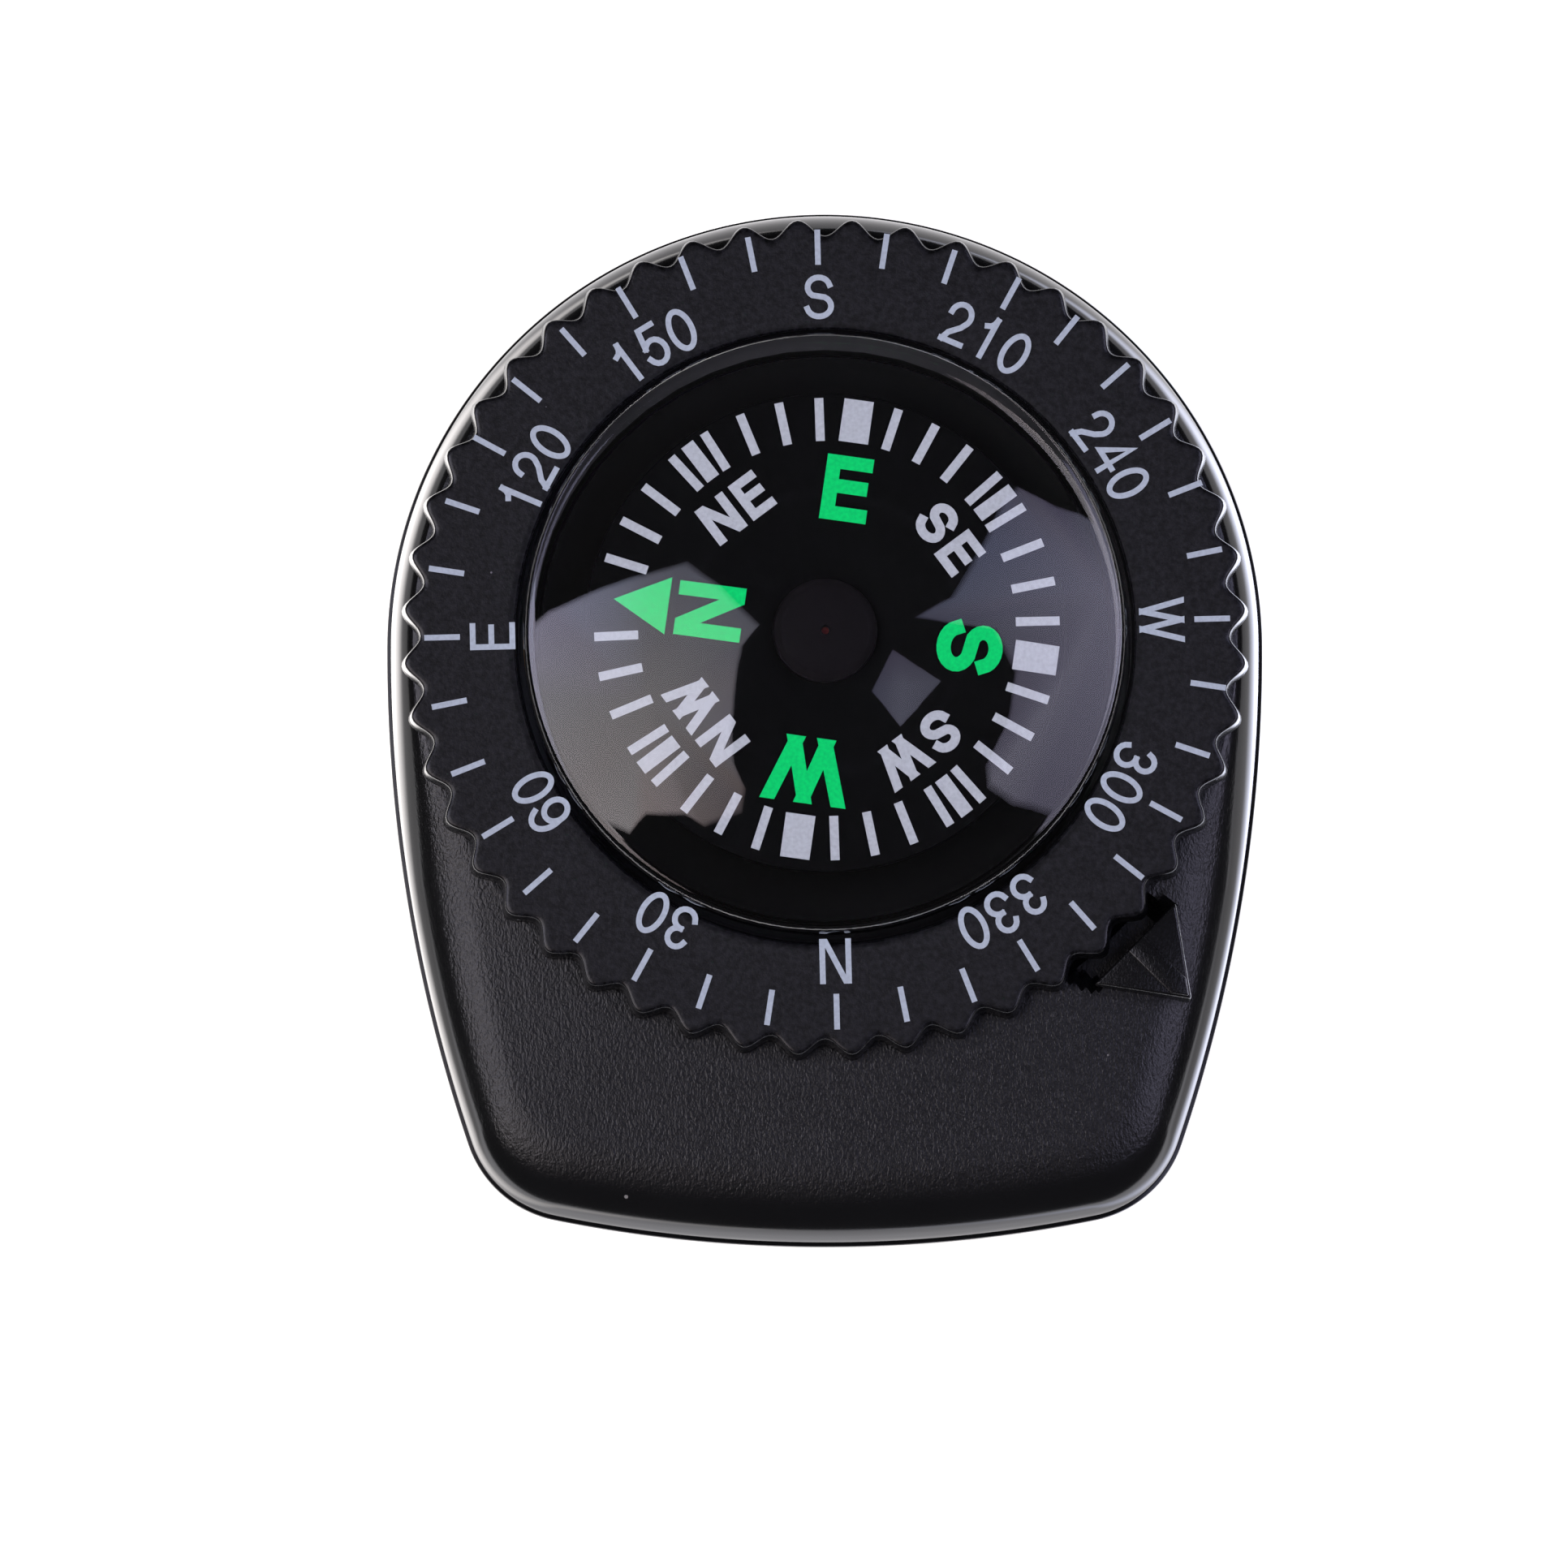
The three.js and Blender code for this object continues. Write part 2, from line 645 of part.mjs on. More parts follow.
// The wire's centre line: the upper leg, the coil along X, and the lower leg.
class SpringLine extends THREE.Curve {
  getPoint(t) {
    const coil = 2 * Math.PI * SPRING_RADIUS * SPRING_TURNS;
    const along = t * (coil + 2 * LEG_LENGTH);
    const half = (SPRING_TURNS * SPRING_PITCH) / 2;
    if (along < LEG_LENGTH) {
      return new THREE.Vector3(-half, HINGE_Y - (LEG_LENGTH - along), HINGE_Z + SPRING_RADIUS);
    }
    if (along > LEG_LENGTH + coil) {
      const out = along - LEG_LENGTH - coil;
      return new THREE.Vector3(half, HINGE_Y - out, HINGE_Z - SPRING_RADIUS - 0.045 * out);
    }
    const share = (along - LEG_LENGTH) / coil;
    const angle = Math.PI / 2 - 2 * Math.PI * SPRING_TURNS * share;
    return new THREE.Vector3(
      half * (2 * share - 1),
      HINGE_Y + SPRING_RADIUS * Math.cos(angle),
      HINGE_Z + SPRING_RADIUS * Math.sin(angle),
    );
  }
}

function clipSpring() {
  const wire = new THREE.Shape().absarc(0, 0, WIRE_RADIUS, 0, 2 * Math.PI);
  const settings = { steps: 96, curveSegments: 3, bevelEnabled: false, extrudePath: new SpringLine() };
  return new THREE.ExtrudeGeometry(wire, settings);
}

// ---- Assembly -----------------------------------------------------------------------------

addPart("case_shell", caseMoulding(), caseAbs);
addPart("base_plate", basePlate(), caseAbs);
SCREW_PLACES.forEach(([x, y], i) => addPart(`base_screw_${i + 1}`, baseScrew(x, y), steel));
addPart("drag_ring", dragRing(), rubber);
addPart("bezel_ring", bezel(), bezelAbs);

addPart("capsule_dome", domeShell(), clearAcrylic);
addPart("capsule_base", capsuleBase(), capsuleBlack);
addPart("capsule_gasket", capsuleGasket(), rubber);
addPart("expansion_diaphragm", diaphragm(), rubber);
addPart("filler_plug", fillerPlug(), brass);
addPart("pivot_pin", pivotPin(), steel);

const card = new THREE.Group();
card.rotation.z = radians(CARD_HEADING);
root.add(card);
addPart("card_disc", cardDisc(), cardBlack, card);
addPart("card_hub", cardHub(), capsuleBlack, card);
addPart("jewel_cup", jewelCup(), jewel, card);
addPart("card_magnet", cardMagnet(), magnetSteel, card);

addPart("clip_lever", clipLever(), caseAbs);
addPart("hinge_pin", crossBar(HINGE_PIN_RADIUS, -HINGE_PIN_LENGTH / 2, HINGE_PIN_LENGTH / 2), steel);
addPart("clip_spring", clipSpring(), steel);

export default root;
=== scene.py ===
"""Builds the looks of a strap-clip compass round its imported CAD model.

The file is laid out as an add-on: each operator makes one piece or a group of like pieces, and the
panel in the sidebar lists them. Lengths in the tables of numbers are in millimetres.
"""

import math

import bpy
from bpy.props import FloatProperty, FloatVectorProperty, IntProperty, PointerProperty
from mathutils import Matrix, Vector


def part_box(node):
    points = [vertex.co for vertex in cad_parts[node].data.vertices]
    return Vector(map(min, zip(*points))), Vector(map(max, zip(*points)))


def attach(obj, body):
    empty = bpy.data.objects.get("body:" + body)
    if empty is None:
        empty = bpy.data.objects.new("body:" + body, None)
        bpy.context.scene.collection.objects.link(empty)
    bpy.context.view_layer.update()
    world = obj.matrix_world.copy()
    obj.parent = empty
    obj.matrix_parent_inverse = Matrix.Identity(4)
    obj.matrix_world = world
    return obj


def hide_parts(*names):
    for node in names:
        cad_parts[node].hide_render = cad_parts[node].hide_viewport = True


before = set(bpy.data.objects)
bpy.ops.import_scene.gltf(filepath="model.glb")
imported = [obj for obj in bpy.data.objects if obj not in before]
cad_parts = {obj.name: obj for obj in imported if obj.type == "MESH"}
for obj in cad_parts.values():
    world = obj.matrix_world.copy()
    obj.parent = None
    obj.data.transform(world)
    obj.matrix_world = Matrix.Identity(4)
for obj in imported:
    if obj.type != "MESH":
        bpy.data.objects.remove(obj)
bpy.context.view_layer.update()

bl_info = {
    "name": "Strap-clip compass",
    "version": (1, 0, 0),
    "blender": (4, 5, 0),
    "location": "View3D > Sidebar > Compass",
    "description": "Builds a strap-clip compass and its studio",
    "category": "Object",
}

MM = 0.001


def linear(code):
    """The linear colour of an sRGB hex code."""
    parts = [int(code[i : i + 2], 16) / 255 for i in (1, 3, 5)]
    return tuple(c / 12.92 if c <= 0.04045 else ((c + 0.055) / 1.055) ** 2.4 for c in parts)


def node_low(name):
    """The lowest corner of a CAD node, in millimetres."""
    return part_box(name)[0] / MM


def node_high(name):
    """The highest corner of a CAD node, in millimetres."""
    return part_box(name)[1] / MM


# ---- Settings --------------------------------------------------------------------------------


def size(name, description, default):
    """A length that a user may change, given in millimetres."""
    return FloatProperty(
        name=name, description=description, default=default * MM, unit="LENGTH", precision=5
    )


def tint(name, description, code):
    """A colour that a user may change."""
    return FloatVectorProperty(
        name=name, description=description, default=linear(code), subtype="COLOR", size=3
    )


class CompassCaseSettings(bpy.types.PropertyGroup):
    """Sizes and colours of the case."""

    radius: size("Radius", "Radius of the case's round end", node_high("case_shell").y)
    reach: size("Reach", "From the compass axis to the thumb end", -node_low("case_shell").y)
    side_radius: size("Side radius", "Radius of the long side arcs", 50)
    corner_radius: size("Corner radius", "Radius of the corners at the thumb end", 3.5)
    end_radius: size("End radius", "Radius of the arc across the thumb end", 44)
    abs_colour: tint("Plastic", "Colour of the moulded plastic", "#101011")
    grain: size("Grain", "Distance between the pebbles of the moulded grain", 0.125)


class CompassBezelSettings(bpy.types.PropertyGroup):
    """Sizes and colours of the bezel."""

    scallops: IntProperty(name="Scallops", description="Number of scallops round the edge", default=48)
    depth: size("Scallop depth", "Depth of each scallop", 0.53)
    peak: size("Peak radius", "Radius out to the top of the scallops", 13.69)
    bore: size("Bore radius", "Radius of the hole for the dome", 9.98)
    digit: size("Digit height", "Height of the printed digits", 1.46)
    line: size("Line width", "Width of the printed lines", 0.185)
    abs_colour: tint("Plastic", "Colour of the bezel's plastic", "#121214")
    ink: tint("Ink", "Colour of the printed dial", "#d0dce4")


class CompassCapsuleSettings(bpy.types.PropertyGroup):
    """Sizes of the clear dome."""

    radius: size("Radius", "Outer radius of the dome", node_high("capsule_dome").x)
    top: size("Top", "Height of the dome's top", node_high("capsule_dome").z)
    shoulder: size("Shoulder", "Height at which the dome's cap starts", 11)
    wall: size("Wall", "Thickness of the dome", 0.9)


class CompassCardSettings(bpy.types.PropertyGroup):
    """Sizes and colours of the floating card."""

    heading: FloatProperty(
        name="Heading", description="Turn of the card at rest", default=math.radians(82), subtype="ANGLE"
    )
    print_radius: size("Print radius", "Radius out to the ends of the printed marks", 7.26)
    white: tint("White ink", "Colour of the marks and small letters", "#c9cecd")
    green: tint("Green ink", "Colour of the large letters and the arrow", "#08ea74")


class CompassClipSettings(bpy.types.PropertyGroup):
    """Sizes of the clip's spring."""

    wire: size("Wire", "Radius of the spring wire", 0.2)
    coil: size("Coil", "Radius of the spring's coil", 0.85)
    leg: size("Leg", "Length of each leg of the spring", 4.6)


class CompassStageSettings(bpy.types.PropertyGroup):
    """Colour of the floor and brightness of the lights."""

    floor: tint("Floor", "Colour of the floor", "#f1efe6")
    glow: FloatProperty(name="Glow", description="Brightness of the light boxes", default=1.0)


# ---- Materials: helpers ----------------------------------------------------------------------

MATH, RANGE, MIX = "ShaderNodeMath", "ShaderNodeMapRange", "ShaderNodeMix"
PRINCIPLED, OUTPUT = "ShaderNodeBsdfPrincipled", "ShaderNodeOutputMaterial"


def add(tree, kind, inputs=(), out=0, **settings):
    """Adds a node, sets its settings, links or sets its inputs, and gives one of its outputs.

    The inputs go by name or number, or stand in the node's order. A colour Mix takes its factor, A and
    B at 0, 6 and 7, and gives its colour at 2. A Map Range takes a value, the ends of its range and what
    they become.
    """
    made = tree.nodes.new(kind)
    for name, value in settings.items():
        setattr(made, name, value)
    for key, value in inputs.items() if isinstance(inputs, dict) else enumerate(inputs):
        socket = made.inputs[key]
        if isinstance(value, bpy.types.NodeSocket):
            tree.links.new(value, socket)
        else:
            socket.default_value = value
    return made.outputs[out] if made.outputs else None


def material(name):
    """A new material and its empty tree."""
    made = bpy.data.materials.new(name)
    made.use_nodes = True
    made.node_tree.nodes.clear()
    return made, made.node_tree


def rgba(colour, share=1.0):
    """A colour as four numbers, made lighter or darker by a share."""
    return (*[c * share for c in colour[:3]], 1.0)


def noise(tree, spacing, detail=3.0, stretch=(1, 1, 1), roughness=0.5):
    """Noise on Object coordinates with a given distance between its bumps, in millimetres."""
    where = add(tree, "ShaderNodeTexCoord", out="Object")
    stretched = add(tree, "ShaderNodeMapping", {"Vector": where, "Scale": stretch})
    inputs = {"Vector": stretched, "Scale": 1 / (spacing * MM), "Detail": detail, "Roughness": roughness}
    return add(tree, "ShaderNodeTexNoise", inputs, "Fac")


def dust(tree, spacing, share):
    """Sparse specks: 1 on a speck and 0 elsewhere. The share is that of the cells with a speck."""
    where = add(tree, "ShaderNodeTexCoord", out="Object")
    inputs = {"Vector": where, "Scale": 1 / (spacing * MM), "Randomness": 1.0}
    distance, colour = add(tree, "ShaderNodeTexVoronoi", inputs, slice(2))
    speck_radius = 0.055
    near = add(tree, MATH, [distance, speck_radius], operation="LESS_THAN")
    red = add(tree, "ShaderNodeSeparateColor", {0: colour})
    return add(tree, MATH, [near, add(tree, MATH, [red, share], operation="LESS_THAN")], operation="MULTIPLY")


# A plastic's index against the damping liquid: there it shows almost no shine.
IN_LIQUID = 1.12


# ---- Materials: the compass's own ------------------------------------------------------------


def grained_abs(settings):
    """Black ABS, moulded in a grained tool: satin pebbles on the flats, near gloss on the shoulder."""
    made, tree = material("Grained black ABS")
    flat = add(tree, "ShaderNodeAttribute", out="Fac", attribute_name="grain")
    spacing = settings.grain / MM
    # Pebbles drawn out along the case, as a leather grain is, and finer creases over them.
    pebbles = noise(tree, spacing, 2.0, (1.4, 0.65, 1))
    creases = noise(tree, spacing * 0.45, 2.0, (1.2, 0.8, 1))
    creases = add(tree, MATH, [creases, 0.5], operation="MULTIPLY")
    height = add(tree, MATH, [pebbles, creases], operation="ADD")
    height = add(tree, MATH, [height, flat], operation="MULTIPLY")
    bump = add(tree, "ShaderNodeBump", {"Strength": 0.45, "Distance": 0.06 * MM, "Height": height})
    cloud = noise(tree, 4.0)
    specks = dust(tree, 1.3, 0.09)
    dark, pale = rgba(settings.abs_colour, 0.85), rgba(settings.abs_colour, 1.2)
    base = add(tree, MIX, {0: cloud, 6: dark, 7: pale}, 2, data_type="RGBA")
    colour = add(tree, MIX, {0: specks, 6: base, 7: rgba(linear("#8d8a86"))}, 2, data_type="RGBA")
    rough = add(tree, RANGE, [flat, 0, 1, 0.14, 0.31])
    rough = add(tree, MATH, [rough, add(tree, RANGE, [cloud, 0, 1, -0.03, 0.03])], operation="ADD")
    inputs = {"Base Color": colour, "Roughness": rough, "Normal": bump, "Specular IOR Level": 0.42}
    add(tree, OUTPUT, [add(tree, PRINCIPLED, inputs)])
    return made


def bezel_abs(settings):
    """Charcoal ABS with a fine spark-eroded matt on its face and a polished scalloped edge."""
    made, tree = material("Matt charcoal ABS")
    face = add(tree, "ShaderNodeAttribute", out="Fac", attribute_name="grain")
    # Spark erosion pits about 0.1 mm across, shallow.
    pits = noise(tree, 0.1, 3.0, (1, 1, 1), 0.6)
    height = add(tree, MATH, [pits, face], operation="MULTIPLY")
    bump = add(tree, "ShaderNodeBump", {"Strength": 0.6, "Distance": 0.03 * MM, "Height": height})
    cloud = noise(tree, 2.5)
    specks = dust(tree, 0.9, 0.06)
    mottle = add(tree, RANGE, [noise(tree, 0.2, 4.0, (1, 1, 1), 0.7), 0.38, 0.66, 0, 1])
    dark, pale = rgba(settings.abs_colour, 0.1), rgba(settings.abs_colour, 3.0)
    mottle = add(tree, MIX, {0: mottle, 6: dark, 7: pale}, 2, data_type="RGBA")
    cloudy = add(tree, MATH, [cloud, 0.4], operation="MULTIPLY")
    base = add(tree, MIX, {0: cloudy, 6: mottle, 7: rgba(settings.abs_colour, 1.2)}, 2, data_type="RGBA")
    colour = add(tree, MIX, {0: specks, 6: base, 7: rgba(linear("#77747a"))}, 2, data_type="RGBA")
    rough = add(tree, RANGE, [face, 0, 1, 0.2, 0.46])
    rough = add(tree, MATH, [rough, add(tree, RANGE, [cloud, 0, 1, -0.03, 0.03])], operation="ADD")
    inputs = {"Base Color": colour, "Roughness": rough, "Normal": bump, "Specular IOR Level": 0.3}
    add(tree, OUTPUT, [add(tree, PRINCIPLED, inputs)])
    return made


def polished_acrylic():
    """Clear PMMA, injection moulded and polished: mirror gloss, very slightly wavy. Lamps pass it."""
    made, tree = material("Polished clear acrylic")
    waves = noise(tree, 1.6, 1.0)
    bump = add(tree, "ShaderNodeBump", {"Strength": 0.25, "Distance": 0.01 * MM, "Height": waves})
    clear = add(
        tree,
        PRINCIPLED,
        {
            "Base Color": (0.97, 0.98, 0.985, 1),
            "Roughness": 0.0,
            "IOR": 1.49,
            "Transmission Weight": 1.0,
            "Normal": bump,
        },
    )
    lamps = add(tree, "ShaderNodeLightPath", out="Is Shadow Ray")
    through = add(tree, "ShaderNodeBsdfTransparent", {"Color": (0.94, 0.95, 0.96, 1)})
    mixed = add(tree, "ShaderNodeMixShader", {0: lamps, 1: clear, 2: through})
    add(tree, OUTPUT, [mixed])
    return made


def wetted_acrylic():
    """The same acrylic where the damping liquid wets it: the two match, so the face can't be seen."""
    made, tree = material("Acrylic wetted by liquid")
    add(tree, OUTPUT, [add(tree, "ShaderNodeBsdfTransparent", {"Color": (0.99, 0.99, 1, 1)})])
    return made


def plain_plastic(name, code, rough, bump_size, bump_depth, ior):
    """A moulded plastic or rubber with a faint unevenness in its skin."""
    made, tree = material(name)
    skin = noise(tree, bump_size)
    bump = add(tree, "ShaderNodeBump", {"Strength": 0.3, "Distance": bump_depth * MM, "Height": skin})
    cloud = noise(tree, 3.0)
    dark, pale = rgba(linear(code), 0.85), rgba(linear(code), 1.15)
    colour = add(tree, MIX, {0: cloud, 6: dark, 7: pale}, 2, data_type="RGBA")
    inputs = {
        "Base Color": colour,
        "Roughness": add(tree, RANGE, [cloud, 0, 1, rough - 0.05, rough + 0.05]),
        "IOR": ior,
        "Normal": bump,
    }
    add(tree, OUTPUT, [add(tree, PRINCIPLED, inputs)])
    return made


def ink(name, colour, ior=1.5):
    """Pad-printed ink: a matt film whose thickness, and so its colour, varies a little."""
    made, tree = material(name)
    film = noise(tree, 0.12, 3.0)
    thick = add(tree, RANGE, [film, 0.3, 0.7, 0, 1])
    shade = add(tree, MIX, {0: thick, 6: rgba(colour, 0.86), 7: rgba(colour, 1.04)}, 2, data_type="RGBA")
    bump = add(tree, "ShaderNodeBump", {"Strength": 0.2, "Distance": 0.01 * MM, "Height": film})
    inputs = {
        "Base Color": shade,
        "Roughness": add(tree, RANGE, [film, 0, 1, 0.5, 0.65]),
        "IOR": ior,
        "Normal": bump,
    }
    add(tree, OUTPUT, [add(tree, PRINCIPLED, inputs)])
    return made


def worked_metal(name, code, rough, stretch):
    """A metal with the fine lines that turning, drawing or grinding leaves."""
    made, tree = material(name)
    lines = noise(tree, 0.08, 3.0, stretch)
    bump = add(tree, "ShaderNodeBump", {"Strength": 0.25, "Distance": 0.01 * MM, "Height": lines})
    cloud = noise(tree, 1.2)
    dark, pale = rgba(linear(code), 0.82), rgba(linear(code), 1.08)
    colour = add(tree, MIX, {0: cloud, 6: dark, 7: pale}, 2, data_type="RGBA")
    inputs = {
        "Base Color": colour,
        "Metallic": 1.0,
        "Roughness": add(tree, RANGE, [lines, 0.3, 0.7, rough - 0.07, rough + 0.07]),
        "Normal": bump,
    }
    add(tree, OUTPUT, [add(tree, PRINCIPLED, inputs)])
    return made


def ruby():
    """Ground and polished synthetic corundum, deep red."""
    made, tree = material("Synthetic ruby")
    cloud = noise(tree, 0.3)
    dark, pale = rgba(linear("#8c2438")), rgba(linear("#c4504a"))
    colour = add(tree, MIX, {0: cloud, 6: dark, 7: pale}, 2, data_type="RGBA")
    inputs = {"Base Color": colour, "Roughness": add(tree, RANGE, [cloud, 0, 1, 0.05, 0.12]), "IOR": 1.76}
    add(tree, OUTPUT, [add(tree, PRINCIPLED, inputs)])
    return made


# ---- Meshes: helpers -------------------------------------------------------------------------


def linked(name, data):
    """A new object in the scene."""
    made = bpy.data.objects.new(name, data)
    bpy.context.scene.collection.objects.link(made)
    return made


def mesh_object(name, points, faces, finishes, sharp=35, attributes=None, slots=None):
    """An object at the origin from points in millimetres, with its materials and attributes."""
    mesh = bpy.data.meshes.new(name)
    mesh.from_pydata([[c * MM for c in p] for p in points], [], faces)
    made = linked(name, mesh)
    for finish_ in finishes:
        mesh.materials.append(finish_)
    for key, values in (attributes or {}).items():
        mesh.attributes.new(key, "FLOAT", "POINT").data.foreach_set("value", values)
    if slots:
        mesh.polygons.foreach_set("material_index", slots)
    shade(mesh, sharp)
    return made


def shade(mesh, sharp=35):
    """Smooth shading, with creases where faces meet at more than an angle."""
    mesh.polygons.foreach_set("use_smooth", [True] * len(mesh.polygons))
    mesh.set_sharp_from_angle(angle=math.radians(sharp))
    mesh.update()


def bands(rings, loop):
    """Faces between rings of points, given as lists of their numbers; a ring of one is a pole."""
    faces = []
    pairs = list(zip(rings, rings[1:])) + ([(rings[-1], rings[0])] if loop else [])
    for low, high in pairs:
        count = max(len(low), len(high))
        for j in range(count):
            k = (j + 1) % count
            a, b = low[j % len(low)], low[k % len(low)]
            c, d = high[k % len(high)], high[j % len(high)]
            corners = list(dict.fromkeys((a, b, c, d)))
            faces.append(corners)
    return faces


def revolve(name, profile, finishes, sides, loop=False, sharp=35, attributes=(), slot_of=None):
    """A profile, going up its outside, turned about the compass axis.

    Each of its points is a radius, a height and a value for each attribute.
    """
    points, rings, values = [], [], []
    for radius, height, *shares in profile:
        count = sides if radius > 1e-6 else 1
        rings.append(list(range(len(points), len(points) + count)))
        for j in range(count):
            angle = 2 * math.pi * j / sides
            points.append((radius * math.cos(angle), radius * math.sin(angle), height))
            values.append(shares)
    faces = bands(rings, loop)
    slots = [slot_of(j // sides) for j in range(len(faces))] if slot_of else None
    named = dict(zip(attributes, zip(*values)))
    return mesh_object(name, points, faces, finishes, sharp, named, slots)


def rounded(profile, radius, steps=4):
    """A closed profile with its sharp corners rounded to a radius."""
    made = []
    for i, here in enumerate(profile):
        before, after = profile[i - 1], profile[(i + 1) % len(profile)]
        a, b = Vector(before) - Vector(here), Vector(after) - Vector(here)
        reach = min(radius, a.length * 0.45, b.length * 0.45)
        if reach < 1e-6 or a.angle(b) > math.radians(172):
            made.append(here)
            continue
        start, end = a.normalized() * reach, b.normalized() * reach
        for step in range(steps + 1):
            t = step / steps
            point = Vector(here) + start * (1 - t) ** 2 + end * t**2
            made.append(tuple(point))
    return made


def facing(heading):
    """The direction of a heading in degrees."""
    return Vector((math.cos(math.radians(heading)), math.sin(math.radians(heading))))


def arc(cx, cy, rx, ry, start, end, steps=14):
    """Points along an elliptic arc, with its angles in degrees."""
    turns = [math.radians(start + (end - start) * i / steps) for i in range(steps + 1)]
    return [(cx + rx * math.cos(t), cy + ry * math.sin(t)) for t in turns]


def softened(name, node, finish_, width):
    """A copy of a CAD node with its loose triangles merged and its edges slightly rounded."""
    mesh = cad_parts[node].data.copy()
    mesh.name = name
    made = linked(name, mesh)
    mesh.materials.clear()
    mesh.materials.append(finish_)
    weld = made.modifiers.new("Weld", "WELD")
    weld.merge_threshold = 0.002 * MM
    flat = made.modifiers.new("Flat faces", "DECIMATE")
    flat.decimate_type = "DISSOLVE"
    flat.angle_limit = math.radians(0.6)
    edge = made.modifiers.new("Edges", "BEVEL")
    edge.width = width * MM
    edge.segments = 2
    edge.limit_method = "ANGLE"
    edge.angle_limit = math.radians(40)
    edge.use_clamp_overlap = True
    plain = plain_copy(made)
    shade(plain.data, 22)
    return plain


def plain_copy(source):
    """The object as its modifiers leave it, as a plain mesh; the source is removed."""
    graph = bpy.context.evaluated_depsgraph_get()
    mesh = bpy.data.meshes.new_from_object(source.evaluated_get(graph))
    name = source.name
    finishes = [m for m in source.data.materials if m]
    bpy.data.objects.remove(source)
    made = linked(name, mesh)
    if not mesh.materials:
        for finish_ in finishes:
            mesh.materials.append(finish_)
    return made


def keep(node, finish_):
    """Gives a CAD node that stays as it is its finish."""
    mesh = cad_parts[node].data
    mesh.materials.clear()
    mesh.materials.append(finish_)


def place(piece, body, slot, *nodes):
    """Fixes a finished piece to its body and hides the CAD nodes it stands for. The slot it is given is not
    used.
    """
    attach(piece, body)
    if nodes:
        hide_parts(*nodes)


# ---- Geometry Nodes --------------------------------------------------------------------------


def tree_with(name, sockets):
    """A Geometry Nodes tree with named inputs, and its input node."""
    tree = bpy.data.node_groups.new(name, "GeometryNodeTree")
    tree.is_modifier = True
    tree.interface.new_socket("Geometry", in_out="INPUT", socket_type="NodeSocketGeometry")
    for label, kind, value in sockets:
        socket = tree.interface.new_socket(label, in_out="INPUT", socket_type="NodeSocket" + kind)
        if value is not None:
            socket.default_value = value
    tree.interface.new_socket("Geometry", in_out="OUTPUT", socket_type="NodeSocketGeometry")
    return tree, tree.nodes.new("NodeGroupInput").outputs


def grown(source, tree, **values):
    """The source object with a tree run on it, as a plain mesh."""
    modifier = source.modifiers.new(tree.name, "NODES")
    modifier.node_group = tree
    for item in tree.interface.items_tree:
        key = item.name.replace(" ", "_").lower()
        if item.in_out == "INPUT" and key in values:
            modifier[item.identifier] = values[key]
    return plain_copy(source)


def empty_mesh(name):
    """A mesh object with nothing in it, for a tree that makes everything itself."""
    return linked(name, bpy.data.meshes.new(name))


def end_with(tree, geometry, finish_):
    """Ends a tree: makes its instances real, gives them a material and puts them out."""
    real = add(tree, "GeometryNodeRealizeInstances", {0: geometry})
    dressed = add(tree, "GeometryNodeSetMaterial", {"Geometry": real, "Material": finish_})
    add(tree, "NodeGroupOutput", {0: dressed})
    return tree


def dial_marks_tree():
    """Equal marks round a dial: a bar on each point of a circle, but for those left out."""
    tree, given = tree_with(
        "Dial marks",
        [
            ("Count", "Int", 36),
            ("Left Out Every", "Int", 1000),
            ("Radius", "Float", 0.01),
            ("Length", "Float", 0.001),
            ("Width", "Float", 0.0002),
            ("Thickness", "Float", 0.00002),
            ("Start Angle", "Float", 0.0),
            ("Centre", "Vector", (0, 0, 0)),
            ("Ink", "Material", None),
        ],
    )
    circle = add(tree, "GeometryNodeMeshCircle", {"Vertices": given["Count"], "Radius": given["Radius"]})
    bar_size = add(
        tree, "ShaderNodeCombineXYZ", {0: given["Length"], 1: given["Width"], 2: given["Thickness"]}
    )
    bar = add(tree, "GeometryNodeMeshCube", {"Size": bar_size})
    index = add(tree, "GeometryNodeInputIndex")
    turn = add(tree, MATH, [index, 2 * math.pi], operation="MULTIPLY")
    turn = add(tree, MATH, [turn, given["Count"]], operation="DIVIDE")
    heading = add(tree, "ShaderNodeCombineXYZ", {2: turn})
    last = add(tree, MATH, [given["Left Out Every"], 1], operation="SUBTRACT")
    shown = add(tree, MATH, [index, given["Left Out Every"]], operation="MODULO")
    shown = add(tree, MATH, [shown, last], operation="LESS_THAN")
    placed = add(
        tree,
        "GeometryNodeInstanceOnPoints",
        {
            "Points": circle,
            "Instance": bar,
            "Rotation": heading,
            "Selection": shown,
        },
    )
    start = add(tree, "ShaderNodeCombineXYZ", {2: given["Start Angle"]})
    moved = add(
        tree,
        "GeometryNodeTransform",
        {"Geometry": placed, "Translation": given["Centre"], "Rotation": start},
    )
    return end_with(tree, moved, given["Ink"])


